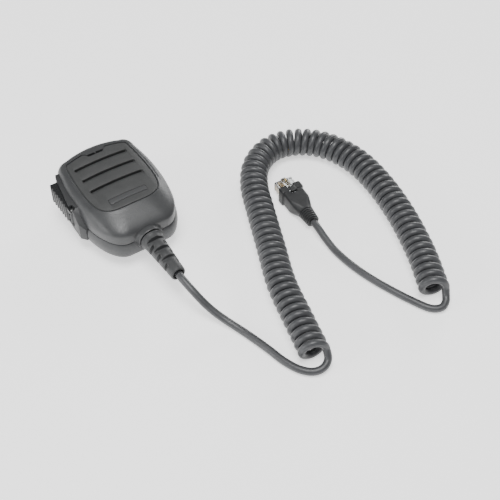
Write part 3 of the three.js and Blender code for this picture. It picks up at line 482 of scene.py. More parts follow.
class Workbench:
    """Turns finished meshes into objects, and cuts, joins and softens them on the way."""

    def __init__(self, under_button: Vector) -> None:
        """Sets the place of the microphone's own origin in the row's frame, in metres."""
        self.to_row = Matrix.Translation(under_button) @ Matrix.Scale(MM, 4)

    def shape(self, bm: bmesh.types.BMesh, name: str) -> bpy.types.Object:
        """Makes an object of a mesh, still in millimetres, and frees the mesh."""
        mesh = bpy.data.meshes.new(name)
        bm.to_mesh(mesh)
        bm.free()
        shaped = bpy.data.objects.new(name, mesh)
        bpy.context.scene.collection.objects.link(shaped)
        return shaped

    def apply(self, shaped: bpy.types.Object) -> None:
        """Applies an object's modifiers to its mesh."""
        seen = shaped.evaluated_get(bpy.context.evaluated_depsgraph_get())
        baked = bpy.data.meshes.new_from_object(seen)
        shaped.modifiers.clear()
        shaped.data = baked

    def carve(self, shaped: bpy.types.Object, tools: list[bmesh.types.BMesh], operation: str,
              solver: str = "EXACT") -> None:
        """Cuts, joins or crosses an object with other closed shapes.

        Args:
            shaped: the object to change.
            tools: the shapes to do it with.
            operation: DIFFERENCE, UNION or INTERSECT.
            solver: EXACT, or FAST where the shapes share no faces.
        """
        cutters = [self.shape(tool, f"{shaped.name}_tool_{i}") for i, tool in enumerate(tools)]
        for cutter in cutters:
            modifier = shaped.modifiers.new("carve", "BOOLEAN")
            modifier.operation = operation
            modifier.solver = solver
            modifier.object = cutter
        self.apply(shaped)
        for cutter in cutters:
            bpy.data.objects.remove(cutter)

    def soften(self, shaped: bpy.types.Object, width: float, angle: float = 32.0, segments: int = 2) -> None:
        """Rounds an object's sharp edges by a width in millimetres."""
        modifier = shaped.modifiers.new("soften", "BEVEL")
        modifier.width = width
        modifier.segments = segments
        modifier.limit_method = "ANGLE"
        modifier.angle_limit = math.radians(angle)
        modifier.use_clamp_overlap = True
        self.apply(shaped)

    def finish(self, shaped: bpy.types.Object, finish: Finish, body: str, slot: str, *nodes: str,
               crease: float = 38.0) -> bpy.types.Object:
        """Moves a piece to its place in the row, dresses it and hides the CAD nodes that it replaces.

        Args:
            shaped: the piece, in millimetres.
            finish: its material.
            body: the CAD body that it rides on.
            slot: the record's material slot; not used.
            nodes: the CAD nodes that it replaces.
            crease: edges bent by more than this many degrees stay sharp.

        Returns:
            The same piece.
        """
        shaped.data.transform(self.to_row)
        shaped.data.materials.clear()
        shaped.data.materials.append(finish.build())
        for polygon in shaped.data.polygons:
            polygon.use_smooth = True
            polygon.material_index = 0
        shaped.data.set_sharp_from_angle(angle=math.radians(crease))
        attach(shaped, body)
        if nodes:
            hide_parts(*nodes)
        LOG.info("%s: %d faces", shaped.name, len(shaped.data.polygons))
        return shaped

    def from_cad(self, node: str, name: str) -> bpy.types.Object:
        """Takes a clean copy of a CAD node's mesh, merged and in millimetres, to be softened.

        Args:
            node: the CAD node.
            name: the new piece's name.

        Returns:
            The copy as an object.
        """
        bm = bmesh.new()
        source = FRAME["nodes"][node]
        bm.from_mesh(source.data)
        bm.transform(self.to_row.inverted() @ source.matrix_world)
        bmesh.ops.remove_doubles(bm, verts=bm.verts[:], dist=2e-4)
        bmesh.ops.dissolve_limit(bm, angle_limit=math.radians(2.0), verts=bm.verts[:], edges=bm.edges[:])
        return self.shape(bm, name)


FRAME: dict = {}


# ------------------------------------------------------------------------------------ the case
@dataclass
class Case:
    """The two shells, the slotted panel set into the front one, and the badge."""

    bench: Workbench
    edge: Outline = Outline((12, -46.8), (29.3, -4), (26.6, 18), (18.5, 24.6), 27.6, 0.6)
    rim: float = 1.3
    head_rim: float = 2.3
    panel: Outline = Outline((5, -31.5), (22.1, -6), (20.95, 14), (17.5, 19.4), 21.4, 0.8,
                             notch=(4.2, 8.0, 18.1))
    back_z: float = 6.0
    parting_z: float = 19.0
    top_z: float = 34.0
    sag: float = 1.5
    wall: float = 2.2
    back_round: float = 5.5
    bulge: float = 0.8
    chin_z: float = 25.8
    side_z: float = 20.5
    head_z: float = 27.0
    groove_half: float = 0.36
    groove_depth: float = 0.75
    slot_length: float = 35.6
    slot_pitch: float = 10.5
    slot_ramp: float = 4.0
    slot_depth: float = 1.2
    slit: float = 0.85
    badge_size: tuple[float, float, float] = (24.0, 3.7, 0.5)
    badge_y: float = -23.8
    badge_recess: float = 0.8
    screw_places: tuple[tuple[float, float], ...] = ((16.9, 20.1), (-16.9, 20.1), (15.7, -34.8),
                                                     (-15.7, -34.8))
    boss_tip: float = -50.3

    def border(self) -> Ring:
        """Gives the outline of the flat rim round the panel, which widens towards the head."""
        plain = replace(self.panel, notch=None).ring()
        return [point + (out - point) * (self.rim + (self.head_rim - self.rim) * eased(point.y, 12, 21))
                for point, out in zip(plain, inset(plain, -1.0))]

    def fall(self, x: float) -> float:
        """Tells how far the crowned top lies below its middle line, at a distance from it."""
        return self.sag * (x / self.panel.flank[0]) ** 2

    def crowned(self, ring: Ring, depth: float) -> Ring:
        """Lays an outline that far below the crowned top."""
        return [Vector((p.x, p.y, self.top_z - depth - self.fall(p.x))) for p in ring]

    def chin(self, point: Vector) -> float:
        """Tells how far a point of the edge belongs to the chin, 0 to 1."""
        return 1 - eased(point.y, self.edge.foot[1] + 5, self.edge.foot[1] + 28)

    def ridge(self, point: Vector) -> float:
        """Gives the height where the case's wall turns into its sloping top, at a point of the edge."""
        head = eased(point.y, self.edge.shoulder[1] - 4, self.edge.crown)
        chin = 1 - eased(point.y, self.edge.foot[1] + 6, self.edge.foot[1] + 30)
        return self.side_z + chin * (self.chin_z - self.side_z) + head * (self.head_z - self.side_z)

    def slope(self, edge: Ring, border: Ring, count: int) -> list[Ring]:
        """Rolls the wall over its ridge and up to the border: steep at the sides, a long slope at the chin.

        Args:
            edge: the wall's outline.
            border: the outline of the flat top.
            count: how many rings to give.

        Returns:
            Rings from the ridge to the border.
        """
        columns = []
        for rim, inner in zip(edge, border):
            top = self.top_z - 0.3 - self.fall(inner.x)
            ridge, chin = self.ridge(rim), self.chin(rim)
            rise, run = top - ridge, (inner - rim).length
            inwards = (inner - rim).normalized()
            start = ridge - 1.0 * chin
            lift = (start + 0.55 * rise) * (1 - chin) + (ridge + 0.7) * chin
            reach = 0.45 * run * (1 - chin) + 0.1 * run * chin
            knee = top * (1 - chin) + (ridge + 0.4 * rise) * chin
            handles = [Vector((0, 0, start)), Vector((0, 0, lift)), Vector((reach, 0, knee)),
                       Vector((run, 0, top))]
            columns.append([rim + inwards * p.x + Vector((0, 0, p.z)) for p in bezier(handles, count - 1)]
                           + [Vector((inner.x, inner.y, top))])
        return [[column[i] for column in columns] for i in range(count)]

    def front(self, bezel_space: list[bmesh.types.BMesh]) -> None:
        """Makes the front shell: its rolled edge, the notched border, and the groove round the panel."""
        edge, border, panel = self.edge.ring(), self.border(), self.panel.ring()
        low = self.parting_z + 0.15
        rings = [raised(inset(edge, 0.5), low), raised(inset(edge, 0.14), low + 0.08),
                 raised(edge, low + 0.4)]
        rings += self.slope(edge, border, 16)
        rings += [self.crowned(inset(border, 0.3), 0.06), self.crowned(inset(border, 0.6), 0)]
        rings += [self.crowned(inset(panel, -self.groove_half - 0.12), 0),
                  self.crowned(inset(panel, -self.groove_half), 0.12),
                  self.crowned(inset(panel, -self.groove_half), self.groove_depth),
                  self.crowned(inset(panel, 0.5), self.groove_depth),
                  self.crowned(inset(panel, 0.5), 3)]
        rings += [[Vector((p.x, p.y, self.ridge(p0) - 2.2)) for p0,
                   p in zip(edge, inset(edge, self.wall + 0.2))],
                  raised(inset(edge, self.wall + 0.2), low)]
        bm = bmesh.new()
        loft(bm, rings, False, False)
        shell = self.bench.shape(bm, "front_shell")
        posts = [cylinder(Vector((x, y, low)), Vector((x, y, 28)), 3.2) for x, y in self.screw_places]
        self.bench.carve(shell, [*posts, self.boss(low, 60)], "UNION")
        slits = [slab((x - 2.5, x + 2.5), (18.2, 19.3), (22, 36), 0.3) for x in (-2.9, 2.9)]
        wells = [cylinder(Vector((x, y, low - 1)), Vector((x, y, 24.8)), 1.55) for x, y in self.screw_places]
        self.bench.carve(shell, [*slits, *wells, self.cord_hole()], "DIFFERENCE")
        self.bench.carve(shell, bezel_space, "DIFFERENCE", "FAST")
        self.bench.finish(shell, SPARKED_ABS, "microphone", "shell", "front_case", crease=30.0)

    def rear(self, bezel_space: list[bmesh.types.BMesh]) -> None:
        """Makes the rear shell: swollen below the parting line, rounded behind, with four screw wells."""
        edge = self.edge.ring()
        high = self.parting_z - 0.15
        round_z = self.back_z + self.back_round
        outer = [(0.5, high), (0.12, high - 0.1), (-0.12, high - 0.5), (-0.5, high - 1.5),
                 (-0.85, high - 3.0),
                 (-1.1, high - 5.0), (-self.bulge, high - 7.0), (-self.bulge, round_z)]
        outer += [(-self.bulge + self.back_round * (1 - math.cos(a)), round_z - self.back_round * math.sin(a))
                  for a in (math.radians(15 * step) for step in range(1, 7))]
        rings = [raised(inset(edge, 3.4), self.back_z + self.wall), raised(inset(edge, 2.4), self.back_z + 3),
                 raised(inset(edge, 2.4), high)]
        rings += [raised(inset(edge, distance), z) for distance, z in outer]
        bm = bmesh.new()
        loft(bm, rings, True, True)
        shell = self.bench.shape(bm, "rear_shell")
        posts = [cylinder(Vector((x, y, 7)), Vector((x, y, high)), 3.2) for x, y in self.screw_places]
        self.bench.carve(shell, [*posts, self.boss(-20, high)], "UNION")
        wells = [turned([(0, 5), (2.85, 5), (2.6, 6.25), (2.6, 8.8), (1.55, 8.8), (1.55, 19), (0, 19)], 40)
                 for _ in self.screw_places]
        for well, (x, y) in zip(wells, self.screw_places):
            bmesh.ops.translate(well, verts=well.verts[:], vec=(x, y, 0))
        bore = cylinder(Vector((0, 0, 5)), Vector((0, 0, 9)), 1.8)
        self.bench.carve(shell, [*wells, bore, self.cord_hole()], "DIFFERENCE")
        self.bench.carve(shell, bezel_space, "DIFFERENCE", "FAST")
        self.bench.finish(shell, SPARKED_ABS, "microphone", "shell", "rear_case", crease=30.0)

    def boss(self, low: float, high: float) -> bmesh.types.BMesh:
        """Makes the part between two heights of the flared boss that the strain relief sits in."""
        foot = self.edge.foot[1]
        stations = [(foot + 1.8, 10.4, 7.3), (foot + 0.6, 9.8, 7.5), (foot - 0.3, 9.1, 7.7),
                    (foot - 1.1, 8.6, 7.85),
                    (foot - 2.0, 8.3, 7.95), (foot - 2.8, 8.1, 8.0), (self.boss_tip + 0.3, 8.0, 7.95),
                    (self.boss_tip + 0.05, 7.85, 7.8), (self.boss_tip, 7.6, 7.55)]
        turn = [math.radians(5 * step) for step in range(72)]
        rings = [[Vector((rx * math.cos(a), y, self.parting_z + rz * math.sin(a))) for a in turn]
                 for y, rx, rz in stations]
        bm = bmesh.new()
        loft(bm, rings, True, True)
        for z, up in ((low, False), (high, True)):
            cut = bmesh.ops.bisect_plane(bm, geom=bm.verts[:] + bm.edges[:] + bm.faces[:], plane_co=(0, 0, z),
                                         plane_no=(0, 0, 1), clear_inner=not up, clear_outer=up)["geom_cut"]
            edges = [e for e in cut if isinstance(e, bmesh.types.BMEdge)]
            if edges:
                bmesh.ops.edgeloop_fill(bm, edges=edges)
        face_out(bm)
        return bm

    def cord_hole(self) -> bmesh.types.BMesh:
        """Makes the hole that the strain relief's neck and flange sit in."""
        bm = turned([(0, 44.2), (5.2, 44.2), (5.2, 45.5), (4.5, 45.5), (4.5, 49.6), (7.55, 49.6), (7.55, 51),
                     (0, 51)])
        bmesh.ops.rotate(bm, verts=bm.verts[:], matrix=Matrix.Rotation(math.pi / 2, 3, "X"))
        bmesh.ops.translate(bm, verts=bm.verts[:], vec=(0, 0, self.parting_z))
        return bm

    def scoops(self) -> list[bmesh.types.BMesh]:
        """Makes the three scoops and the slits at their upper edges, to be cut from the panel."""
        cuts = []
        half = self.slot_length / 2
        for row in (1, 0, -1):
            top = row * self.slot_pitch + 1.8
            foot = top - self.slot_ramp
            scoop = prism([(-half, foot), (half, foot), (half, top), (-half, top)], self.top_z - 6,
                          self.top_z + 1,
                          {0: 2.6, 1: 2.6, 2: 0.9, 3: 0.9}, segments=8)
            run = self.slot_ramp - self.slit
            fall = Vector((0, self.slot_depth, run)).normalized()
            cut = bmesh.ops.bisect_plane(scoop, geom=scoop.verts[:] + scoop.edges[:] + scoop.faces[:],
                                         plane_co=(0, foot, self.top_z), plane_no=fall,
                                         clear_inner=True)["geom_cut"]
            bmesh.ops.edgeloop_fill(scoop, edges=[e for e in cut if isinstance(e, bmesh.types.BMEdge)])
            face_out(scoop)
            cuts.append(scoop)
            cuts.append(prism([(-half + 0.6, top - self.slit), (half - 0.6, top - self.slit),
                               (half - 0.6, top),
                               (-half + 0.6, top)], self.top_z - 5, self.top_z - 0.5,
                               {i: 0.4 for i in range(4)}))
        return cuts

    def face(self) -> None:
        """Makes the panel with its scoops and the badge's recess."""
        panel = self.panel.ring()
        top = self.top_z - 0.06
        rings = [raised(inset(panel, 0.5), self.top_z - 3), raised(inset(panel, self.groove_half),
                                                                   self.top_z - 2.8),
                 raised(inset(panel, self.groove_half), top - 0.35),
                 raised(inset(panel, self.groove_half + 0.1), top - 0.1),
                 raised(inset(panel, self.groove_half + 0.35), top)]
        bm = bmesh.new()
        loft(bm, rings, True, True)
        plate = self.bench.shape(bm, "grille_panel")
        length, width, _ = self.badge_size
        recess = slab((-length / 2 - 0.3, length / 2 + 0.3),
                      (self.badge_y - width / 2 - 0.3, self.badge_y + width / 2 + 0.3),
                      (self.top_z - self.badge_recess, self.top_z + 1), 0.5)
        self.bench.carve(plate, [*self.scoops(), recess], "DIFFERENCE")
        self.bench.soften(plate, 0.16, 35.0)
        self.crown(plate)
        self.bench.finish(plate, PANEL_ABS, "microphone", "shell", crease=30.0)

    def crown(self, plate: bpy.types.Object) -> None:
        """Cuts a flat piece into narrow strips along Y and lowers them towards its sides."""
        bm = bmesh.new()
        bm.from_mesh(plate.data)
        half = round(self.panel.flank[0])
        for x in range(-half + 1, half):
            bmesh.ops.bisect_plane(bm, geom=bm.verts[:] + bm.edges[:] + bm.faces[:], plane_co=(x, 0, 0),
                                   plane_no=(1, 0, 0))
        for vert in bm.verts:
            vert.co.z -= self.fall(vert.co.x)
        bm.to_mesh(plate.data)
        bm.free()

    def badge(self) -> None:
        """Makes the blank badge plate."""
        length, width, thickness = self.badge_size
        low = self.top_z - self.badge_recess + 0.3
        plate = self.bench.shape(slab((-length / 2, length / 2), (self.badge_y - width / 2,
                                                                  self.badge_y + width / 2),
                                      (low, low + thickness), 0.35), "blank_badge")
        self.bench.soften(plate, 0.12)
        self.crown(plate)
        self.bench.finish(plate, BADGE, "microphone", "plate", "badge_plate")

    def build(self, bezel_space: list[list[bmesh.types.BMesh]]) -> None:
        """Makes every piece of the case."""
        self.front(bezel_space[0])
        self.rear(bezel_space[1])
        self.face()
        self.badge()


# ------------------------------------------------------------------------------------ key, relief, button
@dataclass
class TalkKey:
    """The push-to-talk key in its bezel, with its hinge pin."""

    bench: Workbench
    gap: float = 0.3
    bezel_outline: tuple[tuple[float, float], ...] = (
        (-22.9, -23), (-22.9, 19.8), (-27.6, 19.8), (-28.4, 17.3), (-31.9, -8.2), (-31.9, -19.62),
        (-29.3, -23))
    heel_top: tuple[float, float] = (-12.0, 19.0)
    low: float = 10.0
    high: float = 28.0

    def space(self) -> list[bmesh.types.BMesh]:
        """Makes what the bezel takes out of a shell: its own outline, and all that lies outside it."""
        ring = [Vector((x, y, 0)) for x, y in self.bezel_outline]
        grown = [(p.x, p.y) for p in inset(ring, -self.gap)]
        points = [grown[0], grown[1], (-60, grown[1][1]), (-60, grown[5][1]), grown[5], grown[6]]
        space = prism(points, self.low - self.gap, self.high + self.gap)
        start, low = self.heel_top
        heel = self.bezel_outline[0][1]
        cut = bmesh.ops.bisect_plane(space, geom=space.verts[:] + space.edges[:] + space.faces[:],
                                     plane_co=(0, start, self.high + self.gap),
                                     plane_no=(0, low - self.high, start - heel),
                                     clear_outer=True)["geom_cut"]
        bmesh.ops.edgeloop_fill(space, edges=[e for e in cut if isinstance(e, bmesh.types.BMEdge)])
        face_out(space)
        return [space]

    def build(self) -> None:
        """Makes the bezel and the key out of their CAD shapes, with their edges rounded."""
        bezel = self.bench.from_cad("side_bezel", "key_bezel")
        self.bench.soften(bezel, 0.45, 28.0, 3)
        self.bench.finish(bezel, BEZEL_ABS, "microphone", "bezel", "side_bezel", crease=35.0)
        key = self.bench.from_cad("talk_key", "ribbed_key")
        self.bench.soften(key, 0.28, 28.0, 3)
        self.bench.finish(key, KEY_ABS, "key", "key", "talk_key", crease=35.0)
        pin = self.bench.shape(turned([(0, 14.3), (0.65, 14.3), (0.8, 14.45), (0.8, 26.1), (0.62, 26.3),
                                       (0, 26.36)], 32),
                               "hinge_pin")
        pin.data.transform(Matrix.Translation((-31.1, -10.5, 0)))
        self.bench.finish(pin, NICKEL, "microphone", "steel", "key_hinge_pin")


@dataclass
class StrainRelief:
    """The slotted rubber strain relief on the cord's way out of the case."""

    bench: Workbench
    root_y: float = -50.6
    axis_z: float = 19.0
    core: float = 2.95
    first_cut: float = 4.1
    cut_pitch: float = 3.9
    cut_width: float = 2.35
    cuts: int = 6
    profile: tuple[tuple[float, float], ...] = (
        (2.6, -6.9), (4.9, -6.9), (4.9, -5.5), (4.2, -5.5), (4.2, 0.0), (7.0, 0.0), (7.2, 0.15), (7.2, 0.8),
        (7.05, 1.05), (6.85, 1.25), (6.62, 1.9), (6.45, 2.9), (6.3, 4.0), (5.0, 24.0), (4.75, 28.0),
        (4.6, 30.6),
        (4.4, 31.25), (4.0, 31.5), (3.7, 31.5), (3.45, 31.3), (3.3, 30.8), (3.1, 28.6), (2.6, 28.2))

    def build(self) -> None:
        """Spins the relief, cuts its slots alternately across and down it, and rounds their edges."""
        relief = self.bench.shape(turned(list(self.profile), 96), "slotted_relief")
        tools = []
        for i in range(self.cuts):
            low = self.first_cut + i * self.cut_pitch
            for side in (-1, 1):
                span = (side * self.core, side * 12) if side > 0 else (-12, -self.core)
                x, y = ((-12, 12), span) if i % 2 == 0 else (span, (-12, 12))
                tools.append(slab(x, y, (low, low + self.cut_width)))
        self.bench.carve(relief, tools, "DIFFERENCE")
        self.bench.soften(relief, 0.22, 40.0)
        relief.data.transform(Matrix.Translation((0, self.root_y,
                                                  self.axis_z)) @ Matrix.Rotation(math.pi / 2, 4, "X"))
        self.bench.finish(relief, SANTOPRENE, "microphone", "rubber", "strain_relief", crease=35.0)


@dataclass
class HangButton:
    """The round button that hangs the microphone up, and the screws on the back."""

    bench: Workbench
    screw_places: tuple[tuple[float, float], ...] = Case.screw_places

    def screw(self, name: str, node: str, at: Vector, head: float, height: float, finish: Finish) -> None:
        """Makes a pan-head screw's head with a cross recess over its shank.

        Args:
            name: the piece's name.
            node: the CAD node it stands for.
            at: the middle of the head's outer face.
            head: the head's radius.
            height: the head's height.
            finish: its material.
        """
        shank = head * 0.52
        profile = [(0, 0), (head * 0.62, 0.05), (head * 0.86, 0.2), (head, 0.55), (head, height),
                   (shank, height),
                   (shank, height + 9), (0, height + 9)]
        bolt = self.bench.shape(turned(profile, 48), name)
        reach, arm, depth = head * 0.6, head * 0.15, height * 0.62
        tools = [slab((-reach, reach), (-arm, arm), (-1, depth)),
                 slab((-arm, arm), (-reach, reach), (-1, depth))]
        self.bench.carve(bolt, tools, "DIFFERENCE")
        bolt.data.transform(Matrix.Translation(at))
        self.bench.finish(bolt, finish, "microphone", "steel", node)

    def build(self) -> None:
        """Makes the button and the five screws."""
        profile = [(3.2, 0.12), (3.35, 0), (6.6, 0), (7.1, 0.15), (7.4, 0.5), (7.5, 0.95), (7.5, 2.5),
                   (7.35, 2.85),
                   (7.0, 3.0), (4.7, 3.0), (4.5, 3.2), (4.5, 5.7), (1.8, 5.7), (1.8, 2.0), (3.2, 2.0)]
        button = self.bench.shape(turned(profile, 96), "hang_up_button")
        self.bench.finish(button, NICKEL, "microphone", "steel", "hang_button")
        self.screw("hang_up_screw", "hang_button_screw", Vector((0, 0, 0.4)), 2.9, 1.5, ZINC)
        for i, (x, y) in enumerate(self.screw_places, 1):
            self.screw(f"shell_screw_{i}", f"case_screw_{i}", Vector((x, y, 6.9)), 2.3, 1.6, ZINC)


# ------------------------------------------------------------------------------------ cord and plug
@dataclass
class Cord:
    """The cord from the strain relief to the plug: a straight stretch, the coil, and another stretch."""

    bench: Workbench
    radius: float = 2.3
    coil_radius: float = 9.0
    pitch: float = 5.35
    steps: int = 24
    leave: tuple[tuple[float, float, float], ...] = (
        (0, -82.7, 19), (0.2, -87.2, 18.4), (1.7, -94.4, 15.9), (4, -101.2, 11.8), (7.1, -107.8, 7.6),
        (11.1, -115.2, 4.2), (15.1, -124.2, 2.6), (18.4, -134.4, 2.4), (21.2, -144.6, 2.4),
        (23.6, -154.5, 2.4),
        (27.6, -163.6, 2.4), (33, -169.2, 2.6), (38.8, -170.6, 3.5), (43.6, -168.2, 5.4))
    axis: tuple[tuple[float, float], ...] = (
        (38.3, -162.6), (43.5, -140), (50, -113), (60.5, -86), (71.8, -57), (80, -37.5), (91.5, -22.5),
        (108, -15),
        (125, -18.5), (139, -31), (147, -52), (147.6, -76), (142.6, -106), (133, -137.5), (121.8, -163.6))
    arrive: tuple[tuple[float, float, float], ...] = (
        (126.6, -168.8, 5.6), (124.4, -171.6, 3.9), (120.2, -173, 2.8), (114.8, -169.8, 2.4),
        (109.8, -160.5, 2.4),
        (105, -149, 2.4), (100.4, -136, 2.4), (97.3, -124.5, 2.4), (95.5, -114, 2.4), (94.6, -104, 2.7),
        (94.5, -94.5, 4.2), (94.9, -86.5, 5.7), (95.26, -80.92, 6))

    def smooth(self, points: list[Vector], count: int) -> list[Vector]:
        """Runs a smooth line through points, with count steps between each and the next."""
        ends = [points[0] * 2 - points[1], *points, points[-1] * 2 - points[-2]]
        line = []
        for a, b, c, d in zip(ends, ends[1:], ends[2:], ends[3:]):
            line += bezier([b, b + (c - a) / 6, c - (d - b) / 6, c], count)
        return [*line, points[-1]]

    def even(self, line: list[Vector], count: int) -> list[Vector]:
        """Spaces count + 1 points evenly along a line."""
        lengths = [0.0]
        for a, b in zip(line, line[1:]):
            lengths.append(lengths[-1] + (b - a).length)
        spaced, k = [], 0
        for i in range(count + 1):
            goal = lengths[-1] * i / count
            while k < len(line) - 2 and lengths[k + 1] < goal:
                k += 1
            share = (goal - lengths[k]) / (lengths[k + 1] - lengths[k])
            spaced.append(line[k].lerp(line[k + 1], share))
        return spaced

    def coil(self) -> list[Vector]:
        """Winds the coil round its axis.

        Returns:
            The points of its centreline, from the microphone's end to the plug's.
        """
        rough = self.smooth([Vector((x, y, self.coil_radius)) for x, y in self.axis], 24)
        length = sum((b - a).length for a, b in zip(rough, rough[1:]))
        start, stop = math.radians(12), math.radians(180)
        turns = round((length - 4) / self.pitch)
        swing = 2 * math.pi * turns + stop - start
        count = round(self.steps * swing / (2 * math.pi))
        centres = self.even(rough, count)
        reach = self.coil_radius - self.radius
        wound = []
        for i, centre in enumerate(centres):
            along = (centres[min(i + 1, count)] - centres[max(i - 1, 0)]).normalized()
            across = along.cross(Vector((0, 0, 1)))
            angle = start + swing * i / count
            wound.append(centre + (across * math.cos(angle) + Vector((0, 0, math.sin(angle)))) * reach)
        return wound

    def line(self) -> list[Vector]:
        """Gives the whole centreline in millimetres."""
        wound = self.coil()
        leave = self.smooth([Vector(p) for p in self.leave] + wound[:2], 4)
        arrive = self.smooth(wound[-2:] + [Vector(p) for p in self.arrive], 4)
        return leave[:-5] + wound[:-1] + arrive[4:]

    def build(self) -> None:
        """Makes the cord and dresses it."""
        points = [self.bench.to_row @ p for p in self.line()]
        curve = bpy.data.curves.new("coiled_cord", "CURVE")
        curve.dimensions = "3D"
        curve.bevel_depth = self.radius * MM
        curve.bevel_resolution = 5
        curve.use_fill_caps = True
        spline = curve.splines.new("POLY")
        spline.points.add(len(points) - 1)
        for point, place in zip(spline.points, points):
            point.co = (*place, 1.0)
        spline.use_smooth = True
        cord = bpy.data.objects.new("coiled_cord", curve)
        bpy.context.scene.collection.objects.link(cord)
        curve.materials.append(JACKET.build())
        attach(cord, "microphone")
        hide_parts("cord_mic_end", "cord_coil", "cord_plug_end")

    def declare(self) -> None:
        """Works out the cord's centreline in the row's frame, and does nothing more with it."""
        points = [self.bench.to_row @ p for p in self.line()]


@dataclass
class Plug:
    """The modular plug: its moulded boot, clear body, latch, pad and contacts."""

    PIECES = ["ribbed_boot", "clear_body", "clear_latch", "latch_pad_cap",
              *[f"plug_contact_{i}" for i in range(1, 9)]]

    bench: Workbench
    centre: tuple[float, float] = (97.6, -50.5)
    turn: float = -4.4
    axis_z: float = 6.0

    def place(self, shaped: bpy.types.Object) -> None:
        """Moves a piece drawn round the plug's own axis to where the plug lies."""
        shaped.data.transform(Matrix.Translation((*self.centre,
                                                  0)) @ Matrix.Rotation(math.radians(self.turn), 4, "Z"))

    def rounded(self, half: tuple[float, float], corner: float, along: float) -> Ring:
        """Gives a rounded rectangle across the plug's length, as a ring of 64 points."""
        ring = []
        for quarter, (sx, sy) in enumerate(((1, 1), (-1, 1), (-1, -1), (1, -1))):
            for step in range(16):
                angle = math.pi / 2 * (quarter + step / 15)
                ring.append(Vector((sx * (half[0] - corner) + corner * math.cos(angle), along,
                                    self.axis_z + sy * (half[1] - corner) + corner * math.sin(angle))))
        return ring

    def boot(self) -> None:
        """Lofts the boot from its front collar to the ribbed tail, and cuts the latch's recess."""
        stations = [((7.3, 5.75), 1.2, 0.0), ((7.55, 5.98), 1.4, -0.35), ((7.6, 6.0), 1.4, -1.0),
                    ((7.6, 6.0), 1.4, -4.4),
                    ((7.45, 5.85), 1.4, -4.85), ((6.85, 5.55), 1.8, -5.05), ((6.8, 5.5), 1.8, -5.4),
                    ((6.8, 5.5), 1.8, -12.6),
                    ((6.6, 5.4), 2.2, -14.2), ((6.1, 5.2), 2.9, -16.2), ((5.5, 5.05), 3.8, -18.3),
                    ((4.95, 4.9), 4.8, -20.5)]
        for rib in range(6):
            at = -20.9 - rib * 1.55
            size = 4.9 - rib * 0.14
            stations += [((size, size), size - 0.01, at), ((size, size), size - 0.01, at - 0.75),
                         ((size - 0.55, size - 0.55), size - 0.56, at - 0.92),
                         ((size - 0.55, size - 0.55), size - 0.56, at - 1.35)]
        stations += [((4.1, 4.1), 4.09, -30.0), ((3.9, 3.9), 3.89, -30.2), ((2.75, 2.75), 2.74, -30.2),
                     ((2.7, 2.7), 2.69, -29.0)]
        bm = bmesh.new()
        loft(bm, [self.rounded(*station) for station in stations], True, True)
        boot = self.bench.shape(bm, "ribbed_boot")
        tools = [slab((-6.14, 6.14), (-10.3, 1), (2.3, 9.5)), slab((-2.3, 2.3), (-7.3, 1), (9, 13), 0.0)]
        for i in range(9):
            x = -6.4 + i * 1.6
            tools.append(slab((x - 0.3, x + 0.3), (-0.9, 1), (11.55, 13)) if abs(x) > 2.9 else
                         slab((x - 0.3, x + 0.3), (-0.9, 1), (-1, 0.35)))
        self.bench.carve(boot, tools, "DIFFERENCE")
        self.place(boot)
        self.bench.finish(boot, BOOT_PVC, "microphone", "plug_boot", "plug_boot", crease=32.0)

    def build(self) -> None:
        """Makes the boot, and the clear pieces and the pad out of their CAD shapes."""
        self.boot()
        for node, name, finish, body, slot, width in (
                ("plug_body", "clear_body", CLEAR_PC, "microphone", "clear", 0.14),
                ("plug_latch", "clear_latch", CLEAR_PC, "latch", "clear", 0.2),
                ("latch_pad", "latch_pad_cap", BOOT_PVC, "latch", "plug_boot", 0.25)):
            piece = self.bench.from_cad(node, name)
            self.bench.soften(piece, width)
            self.bench.finish(piece, finish, body, slot, node)


# ------------------------------------------------------------------------------------ the rest
CAD_FINISHES: dict[Finish, tuple[str, ...]] = {
    GOLD: tuple(f"plug_contact_{i}" for i in range(1, 9)),
    ZINC: ("board_screw_1", "board_screw_2", "hang_button_nut", "cord_clamp", "clamp_screw_1",
           "clamp_screw_2",
           "microphone_capsule"),
    SANTOPRENE: ("capsule_holder",),
    KEY_ABS: ("switch_plunger",),
    JACKET: ("cord_tail",),
    BOARD: ("circuit_board",),
    EPOXY: ("switch_housing", "cord_header", "board_chip", "board_capacitor", "level_trimmer", "wire_bundle"),
    ACOUSTIC_CLOTH: ("grille_cloth",),
}


def dress_cad() -> None:
    """Gives each CAD node that stays its finish."""
    for finish, nodes in CAD_FINISHES.items():
        for node in nodes:
            FRAME["nodes"][node].data.materials.clear()
            FRAME["nodes"][node].data.materials.append(finish.build())


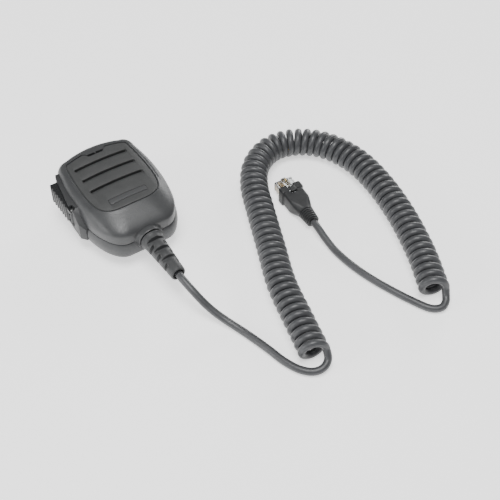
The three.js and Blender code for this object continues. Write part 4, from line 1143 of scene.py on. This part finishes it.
@dataclass
class Studio:
    """The pale floor, the soft lights and the camera."""

    bench: Workbench
    lens: float = 70.8
    camera_at: tuple[float, float, float] = (-159.4, -404.8, 449.0)
    heading: tuple[float, float] = (0.541, 0.841)
    pitch: float = 48.84

    def camera(self) -> None:
        """Places the camera."""
        data = bpy.data.cameras.new("view")
        data.lens = self.lens
        data.sensor_width = 36.0
        data.clip_start = 0.01
        camera = bpy.data.objects.new("view", data)
        bpy.context.scene.collection.objects.link(camera)
        fall = math.radians(self.pitch)
        ahead = Vector((self.heading[0] * math.cos(fall), self.heading[1] * math.cos(fall), -math.sin(fall)))
        camera.rotation_euler = ahead.to_track_quat("-Z", "Y").to_euler()
        camera.location = self.bench.to_row @ Vector(self.camera_at)
        bpy.context.scene.camera = camera

    def lamp(self, name: str, at: tuple[float, float, float], aim: tuple[float, float, float], size: float,
             power: float) -> None:
        """Hangs a square soft light at a point in metres, turned to another point."""
        data = bpy.data.lights.new(name, "AREA")
        data.shape = "SQUARE"
        data.size = size
        data.energy = power
        lamp = bpy.data.objects.new(name, data)
        lamp.location = at
        lamp.rotation_euler = (Vector(aim) - Vector(at)).to_track_quat("-Z", "Y").to_euler()
        bpy.context.scene.collection.objects.link(lamp)

    def build(self) -> None:
        """Lays the floor and sets the lights."""
        bm = bmesh.new()
        bmesh.ops.create_grid(bm, x_segments=1, y_segments=1, size=4.0)
        bmesh.ops.translate(bm, verts=bm.verts[:], vec=(0, 0, -0.0002))
        mesh = bpy.data.meshes.new("floor")
        bm.to_mesh(mesh)
        bm.free()
        floor = bpy.data.objects.new("floor", mesh)
        bpy.context.scene.collection.objects.link(floor)
        mesh.materials.append(PAPER.build())
        world = bpy.data.worlds.new("studio")
        world.use_nodes = True
        world.node_tree.nodes["Background"].inputs["Color"].default_value = (1, 1, 1, 1)
        world.node_tree.nodes["Background"].inputs["Strength"].default_value = 0.25
        bpy.context.scene.world = world
        self.lamp("overhead", (-0.12, -0.22, 1.3), (0.02, 0.0, 0), 0.7, 19.0)
        self.lamp("left", (-1.0, 0.1, 0.4), (0, 0, 0.02), 0.5, 5.0)
        self.lamp("behind", (1.1, 0.6, 0.35), (0, 0, 0.02), 0.5, 7.0)


def main() -> None:
    """Builds the whole microphone, camera and cord first."""
    logging.basicConfig(level=logging.INFO, format="%(name)s %(message)s")
    FRAME.update(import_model())
    low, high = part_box("hang_button")
    bench = Workbench(Vector(((low[0] + high[0]) / 2, (low[1] + high[1]) / 2, 0)))
    studio = Studio(bench)
    studio.camera()
    cord = Cord(bench)
    cord.build()
    key = TalkKey(bench)
    Case(bench).build([key.space(), key.space()])
    key.build()
    StrainRelief(bench).build()
    HangButton(bench).build()
    Plug(bench).build()
    cord.declare()
    dress_cad()
    studio.build()


if __name__ == "__main__":
    main()
